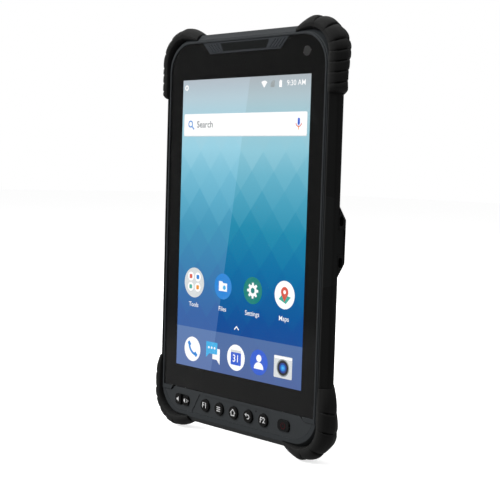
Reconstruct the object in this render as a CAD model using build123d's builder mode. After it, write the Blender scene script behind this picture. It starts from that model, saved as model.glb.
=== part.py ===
from build123d import *
import os
from math import atan, degrees

# A rugged eight-inch tablet, used in the field as a data collector.
# Millimetres. X runs to the right as the screen is read, Y from the screen towards the back, Z up.
# The origin is under the middle of the tablet, on the plane that its lower bumpers stand on.

# ---- driving dimensions ----
screen_width = 107.7
screen_height = 172.3
glass_side = 10.65  # black border beside the picture
glass_above = 21.35
glass_below = 13.85
glass_corner = 17.0
glass_thickness = 0.7
adhesive_thickness = 0.2
adhesive_width = 4.0
rim_side = 7.0  # from the glass to the body's side
rim_top = 5.3
rim_bottom = 6.3
bead_width = 1.4
bead_height = 0.5
bead_edge = 0.35
ledge_thickness = 2.4
gap = 0.2  # sliding and assembly clearance

body_depth = 17.2
body_corner = 21.0
front_chamfer = 3.5  # how far the front slope comes in
front_chamfer_depth = 3.3
back_chamfer = 9.0
back_chamfer_depth = 10.0
back_edge = 1.5  # radii of the body's bends
shoulder_edge = 3.0
seam_edge = 2.0
face_edge = 0.5
wall = 2.0  # housing wall
rubber = 1.2  # thickness of the side grips
rubber_lip = 0.5  # their width where they reach the front face

bumper_side = 3.0  # how far the rubber corners stand out beyond the body
bumper_end = 5.4
bumper_front = 2.1
bumper_back = 1.5
bumper_corner = 22.0
bumper_arm_end = 33.0  # length along the top or bottom
bumper_arm_side = 42.6
foot_half = 5.5  # half the depth of the flat that each lower bumper stands on

lcd_border = 2.2
lcd_tail = 4.5  # driver strip under the picture
lcd_thickness = 1.6
backlight_thickness = 1.8

badge_top = 72.6  # widths of the name plate's trapezoid
badge_bottom = 59.2
badge_height = 6.7
badge_rim = 1.0
plate_top = 41.0
plate_bottom = 36.0
rib_count = 4
rib_width = 1.9
rib_height = 0.35

panel_corner = 17.0
panel_thickness = 1.2
panel_ledge_low = 0.9  # support below and above the key bay
panel_ledge_high = 1.9
recess_depth = 0.3  # sunk middle of the key panel
recess_top = 31.0  # half-widths of its outline
recess_bottom = 38.0
recess_margin = 1.6
turn_in_width = 7.6  # where the rim turns in below each end of the glass
turn_in_height = 2.6
key_pitch = 12.6
key_diameter = 7.4
key_proud = 0.9
key_flange = 0.7
key_flange_thickness = 0.6
key_travel = 0.5
volume_key_width = 6.6
volume_key_height = 6.2
volume_key_inset = 11.1  # from the panel's end
power_key_width = 9.2
power_key_gap = 8.3  # from the last round key
power_key_corner = 2.2
seal_rim = 0.6
mic_x = 18.6
mic_rise = 3.9  # above the key row
mic_hole = 0.9
dome_diameter = 5.0
dome_thickness = 0.5

chassis_thickness = 1.2
board_thickness = 1.0
board_height = 66.0
board_gap = 1.0  # from chassis to board
board_top_margin = 16.5  # from the body's top
board_side_margin = 4.2  # from the corner screws' posts
can_height = 1.6

screw_head = 4.4
screw_head_height = 1.6
screw_shank = 2.4
screw_sink = 0.5
corner_screw_inset = 7.5  # from the glass's side
side_screw_z = 27.0  # each side of mid-height
post_diameter = 5.6

bay_bottom_margin = 43.7  # from the body's bottom to the battery bay
bay_side_margin = 1.9  # from the side screws' posts
bay_ledge = 3.0  # that the cover rests on
bay_floor = 1.2
cover_thickness = 2.0
cover_edge = 0.4
pack_thickness = 5.0
contact_half = 8.0
contact_depth = 2.5
latch_x = 30.0
latch_width = 16.0
latch_height = 7.0
latch_thickness = 1.3
latch_travel = 3.0
latch_rise = 1.3  # above the cover's edge
tongue_width = 6.0
tongue_length = 2.0
tongue_thickness = 0.7
stem_width = 3.0
stem_height = 2.4
clip_width = 8.0
clip_height = 5.0
clip_thickness = 0.6

lug_half = 24.4  # half-height of the side insert, at its front edge
lug_half_back = 19.3
lug_back = 15.3  # from the front face
boss_half = 19.3
boss_flat_half = 11.8
boss_depth = 5.4  # how far the boss runs back past the side's flat part
boss_back_chamfer = 1.7
seat_half = 7.1  # recessed seat between the slots
seat_depth = 0.5
slot_pitch = 22.4
slot_length = 5.6
slot_width = 3.0
slot_depth = 3.0
slot_back = 2.0  # from the shoulder to the slots' middle

door_length = 34.0
door_margin = 3.0  # from the bumper's end
door_depth = 11.3  # from the front face to its back edge
door_plug = 1.1
port_depth = 1.4
port_boss = 3.3  # thickened wall around the sockets
port_board_thickness = 1.0
usb_width = 9.0
usb_thickness = 3.2
usb_length = 7.7
usb_rise = 11.5  # above the door's lower end
reader_width = 13.0
reader_thickness = 1.8
reader_length = 11.0
reader_rise = 23.0

camera_inset = 8.0  # from the board's side
camera_drop = 13.5  # below the board's top
camera_window = 11.0
camera_body = 9.0
camera_lens = 6.5
flash_drop = 16.0
flash_diameter = 4.6
front_camera_inset = 14.1  # from the glass's side
front_camera_drop = 9.1  # below the glass's top
front_camera_diameter = 5.6
front_camera_body = 6.5

speaker_x = 36.0
speaker_rise = 30.9  # above the body's bottom
speaker_width = 20.0
speaker_height = 15.0
speaker_depth = 4.5
mesh_thickness = 0.3
grille_slots = 5
grille_pitch = 2.6
grille_width = 1.2
grille_length = 14.0
dock_rise = 28.4
dock_width = 27.0
dock_height = 6.0
dock_pins = 8
dock_pitch = 3.0

# ---- places worked out from them ----
glass_width = screen_width + 2 * glass_side
glass_height = glass_below + screen_height + glass_above
key_bay_height = max(key_diameter, volume_key_height) + 2 * (key_flange + gap + seal_rim + gap)
panel_height = panel_ledge_low + key_bay_height + panel_ledge_high
body_width = glass_width + 2 * rim_side
body_height = rim_bottom + panel_height + gap + glass_height + rim_top
bumper_width = body_width + 2 * bumper_side
bumper_height = body_height + 2 * bumper_end
bumper_end_x = bumper_width / 2 - bumper_arm_end
bumper_end_z = bumper_height / 2 - bumper_arm_side
mid_z = bumper_height / 2
body_bottom_z = bumper_end
body_top_z = bumper_end + body_height

total_depth = bumper_front + body_depth + bumper_back
bumper_front_y = -total_depth / 2
face_y = bumper_front_y + bumper_front
back_y = face_y + body_depth
seam_y = face_y + front_chamfer_depth
shoulder_y = back_y - back_chamfer_depth
lug_back_y = face_y + lug_back
door_back_y = face_y + door_depth
slot_y = shoulder_y + slot_back
glass_back_y = face_y + glass_thickness
ledge_y = glass_back_y + adhesive_thickness
lcd_back_y = glass_back_y + lcd_thickness
backlight_back_y = lcd_back_y + backlight_thickness
chassis_y = backlight_back_y
chassis_back_y = chassis_y + chassis_thickness
board_y = chassis_back_y + board_gap
board_back_y = board_y + board_thickness
inner_back_y = back_y - wall
side_x = body_width / 2
skin_x = side_x - rubber
cavity_x = skin_x - wall

panel_bottom_z = body_bottom_z + rim_bottom
panel_top_z = panel_bottom_z + panel_height
glass_bottom_z = panel_top_z + gap
glass_top_z = glass_bottom_z + glass_height
screen_z = glass_bottom_z + glass_below + screen_height / 2
lcd_width = screen_width + 2 * lcd_border
lcd_height = screen_height + lcd_border + lcd_tail
lcd_z = screen_z + (lcd_border - lcd_tail) / 2
front_camera_x = glass_width / 2 - front_camera_inset
front_camera_z = glass_top_z - front_camera_drop

key_z = panel_bottom_z + panel_ledge_low + key_bay_height / 2
volume_pair_x = -(glass_width / 2 - volume_key_inset - volume_key_width - gap)
power_key_x = 2 * key_pitch + key_diameter / 2 + power_key_gap + power_key_width / 2
key_reach = max(-volume_pair_x + gap + volume_key_width, power_key_x + power_key_width / 2 + key_flange)
key_bay_width = 2 * (key_reach + gap + seal_rim + gap)
key_bay_corner = 3.2
mic_z = key_z + mic_rise
panel_y = face_y + 0.1
panel_back_y = panel_y + panel_thickness
key_front_y = panel_y - key_proud
flange_y = panel_back_y + 0.1
flange_back_y = flange_y + key_flange_thickness
dome_y = flange_back_y + key_travel + 0.1
key_board_y = dome_y + dome_thickness

corner_screw_x = glass_width / 2 - corner_screw_inset
lower_screw_z = (glass_bottom_z + lcd_z - lcd_height / 2) / 2 - 1.8
upper_screw_z = lcd_z + lcd_height / 2 + gap + screw_shank / 2 + 1.6
side_screw_x = lcd_width / 2 + gap + screw_shank / 2 + 1.25
board_width = 2 * (corner_screw_x - post_diameter / 2 - board_side_margin)
board_z = body_top_z - board_top_margin - board_height / 2
bay_width = 2 * (side_screw_x - post_diameter / 2 - bay_side_margin - wall)
bay_bottom_z = body_bottom_z + bay_bottom_margin
bay_top_z = board_z - board_height / 2 - 3.0 - gap - wall
bay_height = bay_top_z - bay_bottom_z
bay_z = (bay_top_z + bay_bottom_z) / 2
cover_y = back_y - cover_thickness
bay_floor_y = cover_y - gap - pack_thickness - gap
contact_y = bay_floor_y + 1.0
door_high = mid_z + bumper_end_z - door_margin
door_low = door_high - door_length
camera_x = board_width / 2 - camera_inset
camera_z = board_z + board_height / 2 - camera_drop
flash_z = camera_z - flash_drop
speaker_z = body_bottom_z + speaker_rise
dock_z = body_bottom_z + dock_rise

back_slope = back_chamfer / back_chamfer_depth
round_keys = {"f1_key": -2, "menu_key": -1, "home_key": 0, "back_key": 1, "f2_key": 2}
screws = [(side * corner_screw_x, z) for side in (-1, 1) for z in (lower_screw_z, upper_screw_z)]
screws += [(side * side_screw_x, mid_z + rise) for side in (-1, 1) for rise in (-side_screw_z,
      side_screw_z)]

nodes = {}


def front_plane(y):
    """Plane across the tablet at y whose normal looks out of the screen."""
    return Plane.XZ.offset(-y)


def back_plane(y):
    """Plane across the tablet at y whose normal looks out of the back; its x runs the other way."""
    return Plane(origin=(0, y, 0), x_dir=(-1, 0, 0), z_dir=(0, 1, 0))


def block(x, z, width, height, y_front, y_back, radius=0.0, mode=Mode.ADD):
    """Rectangular block, rounded at its four edges that run front to back."""
    with BuildSketch(front_plane(y_back)) as outline:
        with Locations((x, z)):
            if radius:
                RectangleRounded(width, height, radius)
            else:
                Rectangle(width, height)
    extrude(outline.sketch, amount=y_back - y_front, mode=mode)


def disc(x, z, diameter, y_front, y_back, mode=Mode.ADD):
    """Round plug or hole that runs front to back."""
    with BuildSketch(front_plane(y_back)) as outline:
        with Locations((x, z)):
            Circle(diameter / 2)
    extrude(outline.sketch, amount=y_back - y_front, mode=mode)


def skin(inset, mode=Mode.ADD):
    """The body's outer form, taken in by inset at its sides: front slope, flat side, back slope."""
    width = body_width - 2 * inset
    height = body_height - 2 * inset
    radius = body_corner - inset
    run = front_chamfer - max(inset - rubber_lip, 0)
    with BuildSketch(front_plane(seam_y)) as front:
        with Locations((0, mid_z)):
            RectangleRounded(width, height, radius)
    extrude(front.sketch, amount=seam_y - face_y, taper=degrees(atan(run / front_chamfer_depth)), mode=mode)
    block(0, mid_z, width, height, seam_y, shoulder_y, radius, mode)
    with BuildSketch(back_plane(shoulder_y)) as back:
        with Locations((0, mid_z)):
            RectangleRounded(width, height, radius)
    extrude(back.sketch, amount=back_chamfer_depth, taper=degrees(atan(back_slope)), mode=mode)


def round_skin(builder):
    """Rounds the body form's four bends, from the back face to the front face."""
    for y, radius in ((back_y, back_edge), (shoulder_y, shoulder_edge), (seam_y, seam_edge),
          (face_y, face_edge)):
        fillet([edge for edge in builder.edges()
                if max(abs(edge.bounding_box().min.Y - y),
                      abs(edge.bounding_box().max.Y - y)) < 0.001], radius)


def slab(x_range, y_range, z_range, mode=Mode.INTERSECT):
    """Box between two limits on each axis."""
    middle = tuple((low + high) / 2 for low, high in (x_range, y_range, z_range))
    size = [high - low for low, high in (x_range, y_range, z_range)]
    with Locations(middle):
        Box(*size, mode=mode)


def keep(name, builder):
    """Labels a finished piece and holds it for export."""
    builder.part.label = name
    nodes[name] = builder.part


# ---- shapes that several pieces share ----
with BuildPart() as inner_skin:
    skin(rubber)
    round_skin(inner_skin)

with BuildPart() as outer_skin:
    skin(0)
    round_skin(outer_skin)

with BuildPart() as housing_form:
    add(outer_skin.part)
    slab((-bumper_end_x, bumper_end_x), (-total_depth, total_depth), (0, bumper_height))
    add(inner_skin.part)

with BuildSketch(Plane.XZ) as glass_outline:
    with BuildLine():
        FilletPolyline(
            (-glass_width / 2, glass_bottom_z),
            (-glass_width / 2, glass_top_z),
            (glass_width / 2, glass_top_z),
            (glass_width / 2, glass_bottom_z),
            radius=glass_corner,
        )
        Line((glass_width / 2, glass_bottom_z), (-glass_width / 2, glass_bottom_z))
    make_face()

with BuildSketch(Plane.XZ) as badge_outline:
    with BuildLine():
        Polyline(
            (-badge_top / 2, glass_top_z),
            (badge_top / 2, glass_top_z),
            (badge_bottom / 2, glass_top_z - badge_height),
            (-badge_bottom / 2, glass_top_z - badge_height),
            close=True,
        )
    make_face()

with BuildSketch(Plane.XZ) as plate_outline:
    with BuildLine():
        Polyline(
            (-plate_top / 2, glass_top_z - badge_rim),
            (plate_top / 2, glass_top_z - badge_rim),
            (plate_bottom / 2, glass_top_z - badge_height + badge_rim),
            (-plate_bottom / 2, glass_top_z - badge_height + badge_rim),
            close=True,
        )
    make_face()

with BuildSketch(Plane.XZ) as panel_outline:
    with Locations((0, panel_bottom_z + glass_width / 2)):
        RectangleRounded(glass_width, glass_width, panel_corner)
    with Locations((0, (panel_bottom_z + panel_top_z) / 2)):
        Rectangle(glass_width, panel_height, mode=Mode.INTERSECT)
    for side in (-1, 1):
        with BuildLine():
            Polyline(
                (side * glass_width / 2, panel_top_z - turn_in_height),
                (side * (glass_width / 2 - turn_in_width), panel_top_z - turn_in_height),
                (side * (glass_width / 2 - turn_in_width - turn_in_height), panel_top_z),
                (side * glass_width / 2, panel_top_z),
                close=True,
            )
        make_face(mode=Mode.SUBTRACT)


def sheet(shape, y_front, y_back, margin=0.0, mode=Mode.ADD):
    """A flat sketch thickened between two depths, grown or shrunk all round by margin."""
    with BuildSketch(Plane.XZ) as outline:
        add(shape.sketch)
        if margin:
            offset(amount=margin, kind=Kind.INTERSECTION if margin > 0 else Kind.ARC)
    moved = outline.sketch.moved(Location((0, y_back, 0)))
    extrude(moved, amount=y_back - y_front, dir=(0, -1, 0), mode=mode)


def screw_holes(diameter, y_front, y_back):
    """Cuts a round hole on every screw's axis."""
    for x, z in screws:
        disc(x, z, diameter, y_front, y_back, Mode.SUBTRACT)


# ---- front frame: rim, ledge under the glass, pocket for the key panel ----
with BuildPart() as rim:
    with BuildSketch(Plane.XZ) as rim_outline:
        add(glass_outline.sketch)
        offset(amount=bead_width, kind=Kind.INTERSECTION)
    extrude(rim_outline.sketch.moved(Location((0, face_y, 0))), amount=bead_height, dir=(0, -1, 0), taper=20)
    slab((-side_x, side_x), (-total_depth, total_depth), (glass_bottom_z - gap, bumper_height))
    for side in (-1, 1):
        block(side * (glass_width / 2 + bead_width / 2 - turn_in_width / 2),
              glass_bottom_z - turn_in_height / 2 - gap / 2, turn_in_width, turn_in_height + gap,
              face_y - bead_height, face_y)
    sheet(glass_outline, -total_depth, total_depth, 0.1, Mode.SUBTRACT)
    crest = rim.edges().filter_by_position(Axis.Y, face_y - bead_height - 0.001, face_y - bead_height + 0.001)
    fillet(crest.filter_by_position(Axis.Z, glass_bottom_z + gap, bumper_height), bead_edge)

with BuildPart() as front_frame:
    add(housing_form.part)
    slab((-side_x, side_x), (face_y, seam_y), (0, bumper_height))
    add(rim.part)
    sheet(glass_outline, -total_depth, ledge_y, 0.1, Mode.SUBTRACT)
    block(0, lcd_z, lcd_width + 2 * gap, lcd_height + 2 * gap, face_y, seam_y, 1.0, Mode.SUBTRACT)
    sheet(panel_outline, -total_depth, panel_back_y, 0.1, Mode.SUBTRACT)
    block(0, key_z, key_bay_width, key_bay_height, panel_back_y, seam_y, key_bay_corner, Mode.SUBTRACT)
    block(front_camera_x, front_camera_z, front_camera_body + 2 * gap, front_camera_body + 2 * gap,
          ledge_y, seam_y, 0.8, Mode.SUBTRACT)
    screw_holes(screw_shank, seam_y - 2.0, seam_y)
keep("front_frame", front_frame)

# ---- glass, adhesive, display, front camera ----
with BuildPart() as cover_glass:
    sheet(glass_outline, face_y, glass_back_y)
    sheet(badge_outline, face_y - 1, glass_back_y, 0.1, Mode.SUBTRACT)
    disc(front_camera_x, front_camera_z, front_camera_diameter, face_y, glass_back_y, Mode.SUBTRACT)
keep("cover_glass", cover_glass)

with BuildPart() as glass_adhesive:
    sheet(glass_outline, glass_back_y, ledge_y)
    sheet(glass_outline, glass_back_y, ledge_y, -adhesive_width, Mode.SUBTRACT)
    sheet(badge_outline, glass_back_y, ledge_y, 0.1, Mode.SUBTRACT)
keep("glass_adhesive", glass_adhesive)

with BuildPart() as display_panel:
    block(0, lcd_z, lcd_width, lcd_height, glass_back_y, lcd_back_y, 0.8)
keep("display_panel", display_panel)

with BuildPart() as backlight:
    block(0, lcd_z, lcd_width - 1, lcd_height - 1, lcd_back_y, backlight_back_y, 0.8)
keep("backlight", backlight)

with BuildPart() as front_camera_window:
    disc(front_camera_x, front_camera_z, front_camera_diameter - 0.1, face_y, glass_back_y)
keep("front_camera_window", front_camera_window)

with BuildPart() as front_camera:
    block(front_camera_x, front_camera_z, front_camera_body, front_camera_body,
          ledge_y, chassis_y, 0.6)
    disc(front_camera_x, front_camera_z, front_camera_diameter - 1.2, glass_back_y, ledge_y)
keep("front_camera", front_camera)

# ---- name plate: slanted ribs either side of a blank plate ----
slant = (badge_top - badge_bottom) / 2 / badge_height
rib_low_z = glass_top_z - badge_height + badge_rim
rib_high_z = glass_top_z - badge_rim
with BuildPart() as badge:
    sheet(badge_outline, face_y, ledge_y)
    sheet(plate_outline, face_y, face_y + 0.3, 0.0, Mode.SUBTRACT)
    for side in (-1, 1):
        for number in range(rib_count):
            foot = plate_bottom / 2 + 1.3 + number * (badge_bottom - plate_bottom - 3.6) / 2 / rib_count
            shift = slant * (rib_high_z - rib_low_z)
            with BuildSketch(front_plane(face_y)) as rib:
                with BuildLine():
                    Polyline(
                        (side * foot, rib_low_z),
                        (side * (foot + rib_width), rib_low_z),
                        (side * (foot + rib_width + shift), rib_high_z),
                        (side * (foot + shift), rib_high_z),
                        close=True,
                    )
                make_face()
            extrude(rib.sketch, amount=rib_height)
keep("badge", badge)

with BuildPart() as badge_plate:
    sheet(plate_outline, face_y - 0.1, face_y + 0.3, -0.05)
keep("badge_plate", badge_plate)


# ---- key panel and keys ----
def key_outline(name, growth, y):
    """Outline of one key, grown all round, on the plane at y."""
    with BuildSketch(front_plane(y)) as outline:
        if name in round_keys:
            with Locations((round_keys[name] * key_pitch, key_z)):
                Circle(key_diameter / 2 + growth)
        elif name == "power_key":
            with Locations((power_key_x, key_z)):
                RectangleRounded(power_key_width + 2 * growth, volume_key_height + 2 * growth,
                                 power_key_corner + growth)
        else:
            side = -1 if name == "volume_down_key" else 1
            near = volume_pair_x + side * (gap - growth)
            far = volume_pair_x + side * (gap + volume_key_width + growth)
            half = volume_key_height / 2 + growth
            with BuildLine():
                bend = FilletPolyline((near, key_z - half), (far, key_z - half), (far, key_z + half),
                                      (near, key_z + half), radius=half * 0.85)
                Line(bend @ 1, bend @ 0)
            make_face()
    return outline.sketch


key_names = [*round_keys, "power_key", "volume_down_key", "volume_up_key"]
volume_centre = gap + volume_key_width / 2

with BuildPart() as key_panel:
    sheet(panel_outline, panel_y, panel_back_y)
    for name in key_names:
        extrude(key_outline(name, gap, panel_back_y), amount=panel_thickness, mode=Mode.SUBTRACT)
    disc(mic_x, mic_z, mic_hole, panel_y, panel_back_y, Mode.SUBTRACT)
    with BuildSketch(front_plane(panel_y + recess_depth)) as recess:
        with BuildLine():
            Polyline((-recess_top, panel_top_z - recess_margin), (recess_top, panel_top_z - recess_margin),
                     (recess_bottom, panel_bottom_z), (-recess_bottom, panel_bottom_z), close=True)
        make_face()
    extrude(recess.sketch, amount=recess_depth, mode=Mode.SUBTRACT)
keep("key_panel", key_panel)

for name in key_names:
    with BuildPart() as key:
        extrude(key_outline(name, 0, flange_back_y), amount=flange_back_y - key_front_y)
        fillet(key.faces().sort_by(Axis.Y)[0].edges(), 0.5)
        if name.startswith("volume"):
            x = volume_pair_x + (-volume_centre if name == "volume_down_key" else volume_centre)
            block(x, key_z, volume_key_width, volume_key_height + 2 * key_flange, flange_y,
                  flange_back_y, 1.0)
        else:
            extrude(key_outline(name, key_flange, flange_back_y), amount=key_flange_thickness)
    keep(name, key)

with BuildPart() as key_seal:
    block(0, key_z, key_bay_width - 2 * gap, key_bay_height - 2 * gap, panel_back_y, key_board_y,
          key_bay_corner - gap)
    for name in [*round_keys, "power_key"]:
        extrude(key_outline(name, key_flange + gap, key_board_y), amount=key_board_y - panel_back_y,
                mode=Mode.SUBTRACT)
    block(volume_pair_x, key_z, 2 * (gap + volume_key_width + gap),
          volume_key_height + 2 * (key_flange + gap),
          panel_back_y, key_board_y, 1.3, Mode.SUBTRACT)
    disc(mic_x, mic_z, mic_hole + 0.4, panel_back_y, key_board_y, Mode.SUBTRACT)
keep("key_seal", key_seal)

key_centres = [number * key_pitch for number in round_keys.values()]
key_centres += [power_key_x, volume_pair_x - volume_centre, volume_pair_x + volume_centre]
with BuildPart() as key_domes:
    for x in key_centres:
        disc(x, key_z, dome_diameter, dome_y, key_board_y)
keep("key_domes", key_domes)

with BuildPart() as key_board:
    block(0, key_z, key_bay_width - 2 * gap, key_bay_height - 2 * gap, key_board_y, chassis_y,
          key_bay_corner - gap)
    disc(mic_x, mic_z, mic_hole, key_board_y, chassis_y, Mode.SUBTRACT)
keep("key_board", key_board)

with BuildPart() as microphone:
    block(mic_x, mic_z, 3.4, 2.4, chassis_y, chassis_back_y - 0.1, 0.3)
keep("microphone", microphone)

# ---- chassis and seal ----
cavity_height = body_height - 2 * (rubber + wall)
cavity_corner = body_corner - rubber - wall
with BuildPart() as mid_chassis:
    block(0, mid_z, 2 * (cavity_x - gap), cavity_height - 2 * gap, chassis_y, chassis_back_y,
          cavity_corner - gap)
    block(mic_x, mic_z, 3.8, 2.8, chassis_y, chassis_back_y, 0.4, Mode.SUBTRACT)
    for x in (-35, 0, 35):
        block(x, bay_z, 26, bay_height * 0.7, chassis_y, chassis_back_y, 3.0, Mode.SUBTRACT)
    screw_holes(screw_shank + 2 * gap, chassis_y, chassis_back_y)
    for x in (-board_width / 2 + 4, board_width / 2 - 4):
        for z in (board_z - board_height / 2 + 4, board_z + board_height / 2 - 4):
            disc(x, z, 4.0, chassis_back_y, board_y)
keep("mid_chassis", mid_chassis)

with BuildPart() as housing_seal:
    block(0, mid_z, 2 * (cavity_x - gap), cavity_height - 2 * gap, seam_y, chassis_y, cavity_corner - gap)
    block(0, mid_z, 2 * (cavity_x - gap) - 3.6, cavity_height - 2 * gap - 3.6, seam_y, chassis_y,
          cavity_corner - gap - 1.8, Mode.SUBTRACT)
keep("housing_seal", housing_seal)

# ---- rear housing ----
with BuildPart() as cavity:
    block(0, mid_z, 2 * cavity_x, cavity_height, seam_y, shoulder_y, cavity_corner)
    with BuildSketch(back_plane(shoulder_y)) as cavity_back:
        with Locations((0, mid_z)):
            RectangleRounded(2 * cavity_x, cavity_height, cavity_corner)
    extrude(cavity_back.sketch, amount=inner_back_y - shoulder_y, taper=degrees(atan(back_slope)))

latch_z = bay_top_z + latch_rise + latch_height / 2
latch_y = back_y - latch_thickness
tongue_y = back_y - 0.2 - tongue_thickness
port_y = board_back_y + 1.3  # front of the port board
usb_z = door_low + usb_rise
reader_z = door_low + reader_rise
boss_x = -cavity_x + port_boss

with BuildPart() as rear_housing:
    add(housing_form.part)
    slab((-side_x, side_x), (seam_y, back_y), (0, bumper_height))
    add(cavity.part, mode=Mode.SUBTRACT)
    block(0, bay_z, bay_width + 2 * wall, bay_height + 2 * wall, bay_floor_y - bay_floor, back_y - 0.01,
          3.0)
    block(0, bay_z, bay_width - 2 * bay_ledge, bay_height - 2 * bay_ledge, bay_floor_y, back_y, 2.0,
          Mode.SUBTRACT)
    block(0, bay_z, bay_width, bay_height, cover_y, back_y, 2.5, Mode.SUBTRACT)
    for x, z in screws:
        disc(x, z, post_diameter, chassis_back_y, inner_back_y)
    slab((-cavity_x - 0.5, boss_x), (chassis_back_y, port_y - gap), (door_low + 5, door_high - 3), Mode.ADD)
    screw_holes(screw_shank + gap, chassis_back_y, back_y)
    screw_holes(screw_head + 2 * gap, back_y - screw_sink - screw_head_height, back_y)
    slab((-contact_half - gap, contact_half + gap), (contact_y - gap, contact_y + contact_depth + gap),
         (bay_top_z - 8, bay_top_z + 8), Mode.SUBTRACT)
    for side in (-1, 1):
        block(side * latch_x, latch_z + latch_travel / 2, latch_width + 2 * gap,
              latch_height + latch_travel + 2 * gap,
              latch_y - 0.1, back_y, 1.2, Mode.SUBTRACT)
        block(side * latch_x, bay_top_z + 1.0, tongue_width + 2 * gap, 2.2, tongue_y - 0.1, back_y, 0.0,
              Mode.SUBTRACT)
        block(side * latch_x, latch_z + latch_travel / 2, stem_width + 2 * gap,
              stem_height + latch_travel + 2 * gap,
              inner_back_y, back_y, 0.0, Mode.SUBTRACT)
    disc(camera_x, camera_z, camera_window + 0.1, back_y - 1.0, back_y, Mode.SUBTRACT)
    disc(camera_x, camera_z, camera_window - 2.0, inner_back_y, back_y, Mode.SUBTRACT)
    disc(camera_x, flash_z, flash_diameter + 0.1, back_y - 1.0, back_y, Mode.SUBTRACT)
    disc(camera_x, flash_z, flash_diameter - 1.2, inner_back_y, back_y, Mode.SUBTRACT)
    for number in range(grille_slots):
        slot_z = speaker_z + (number - (grille_slots - 1) / 2) * grille_pitch
        block(speaker_x, slot_z, grille_length, grille_width, inner_back_y, back_y, grille_width / 2 - 0.01,
              Mode.SUBTRACT)
    block(0, dock_z, dock_width + 0.1, dock_height + 0.1, inner_back_y, back_y, 2.0, Mode.SUBTRACT)
    # pockets behind the side door
    slab((-side_x, -skin_x + port_depth), (seam_y + 0.8, port_y - 0.1), (door_low + 5, door_high - 4),
          Mode.SUBTRACT)
    slab((-side_x, boss_x), (port_y - usb_thickness - 0.1, port_y), (usb_z - usb_width / 2 - 0.1,
         usb_z + usb_width / 2 + 0.1), Mode.SUBTRACT)
    slab((-side_x, boss_x), (port_y - reader_thickness - 0.1, port_y), (reader_z - reader_width / 2 - 0.1,
         reader_z + reader_width / 2 + 0.1), Mode.SUBTRACT)
    # strap slots
    for side in (-1, 1):
        with BuildSketch(Plane(origin=(side * side_x, 0, mid_z), x_dir=(0, 1, 0),
              z_dir=(1, 0, 0))) as strap:
            with Locations((slot_y, slot_pitch / 2), (slot_y, -slot_pitch / 2)):
                SlotOverall(slot_length, slot_width, rotation=90)
        extrude(strap.sketch, amount=-side * slot_depth, mode=Mode.SUBTRACT)
keep("rear_housing", rear_housing)

with BuildPart() as housing_screws:
    head_y = back_y - screw_sink - screw_head_height
    for x, z in screws:
        disc(x, z, screw_shank, seam_y - 2.0, head_y)
        disc(x, z, screw_head, head_y, head_y + screw_head_height)
        with BuildSketch(back_plane(head_y + screw_head_height)) as socket:
            with Locations((-x, z)):
                RegularPolygon(1.1, 6)
        extrude(socket.sketch, amount=-1.0, mode=Mode.SUBTRACT)
keep("housing_screws", housing_screws)

# ---- rubber: corners, side grips; strap lugs ----
arc_x = bumper_width / 2 - bumper_corner
arc_z = bumper_height - bumper_corner
bumper_x = bumper_width / 2
bumper_back_y = back_y + bumper_back
side_end_z = mid_z + bumper_end_z
with BuildPart() as corner:
    with BuildSketch(Plane.XY.offset(arc_z)) as section:
        with BuildLine():
            Polyline(
                (bumper_x - 7.4, face_y),
                (bumper_x - 6.8, face_y - 0.75 * bumper_front),
                (bumper_x - 4.8, bumper_front_y),
                (bumper_x - 2.2, bumper_front_y + 1.0),
                (bumper_x - 0.4, bumper_front_y + 3.9),
                (bumper_x, bumper_front_y + 6.9),
                (bumper_x, shoulder_y + 0.2),
                (bumper_x - 3.6, shoulder_y + 4.1),
                (bumper_x - 9.2, back_y + 0.1),
                (bumper_x - 12.0, bumper_back_y),
                (bumper_x - 16.0, bumper_back_y),
                (bumper_x - 18.0, back_y),
                close=True,
            )
        make_face()
    turn = Axis((arc_x, 0, arc_z), (0, -1, 0))
    extrude(section.sketch, amount=-(arc_z - side_end_z))
    revolve(section.sketch, axis=turn, revolution_arc=90)
    extrude(section.sketch.rotate(turn, 90), amount=arc_x - bumper_end_x, dir=(-1, 0, 0))
    with BuildSketch(Plane.XZ) as ends:
        with BuildLine():
            Polyline((0, mid_z + body_height / 2), (bumper_end_x, mid_z + body_height / 2),
                     (bumper_end_x + 3.2, bumper_height + 1), (0, bumper_height + 1), close=True)
        make_face()
        with BuildLine():
            Polyline((side_x, mid_z), (side_x, side_end_z), (bumper_x + 1, side_end_z + 3.5),
                     (bumper_x + 1, mid_z), close=True)
        make_face()
    extrude(ends.sketch, amount=total_depth, both=True, mode=Mode.SUBTRACT)

with BuildPart() as foot_corner:
    add(corner.part)
    with BuildSketch(Plane.YZ.offset(bumper_end_x + 3.2)) as foot_section:
        with BuildLine():
            Polyline((-foot_half, bumper_height), (foot_half, bumper_height),
                  (foot_half + 1.6, bumper_height - 1.6),
                     (foot_half + 3.4, bumper_height - 9), (-foot_half, bumper_height - 9), close=True)
        make_face()
    extrude(foot_section.sketch, amount=arc_x + 2 - bumper_end_x - 3.2)

level = Plane.XY.offset(mid_z)
with BuildPart() as bumper_top_right:
    add(corner.part)
    add(housing_form.part, mode=Mode.SUBTRACT)
keep("bumper_top_right", bumper_top_right)

with BuildPart() as bumper_top_left:
    add(bumper_top_right.part.mirror(Plane.YZ))
keep("bumper_top_left", bumper_top_left)

with BuildPart() as bumper_bottom_right:
    add(foot_corner.part.mirror(level))
    add(housing_form.part, mode=Mode.SUBTRACT)
keep("bumper_bottom_right", bumper_bottom_right)

with BuildPart() as bumper_bottom_left:
    add(bumper_bottom_right.part.mirror(Plane.YZ))
keep("bumper_bottom_left", bumper_bottom_left)

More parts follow.
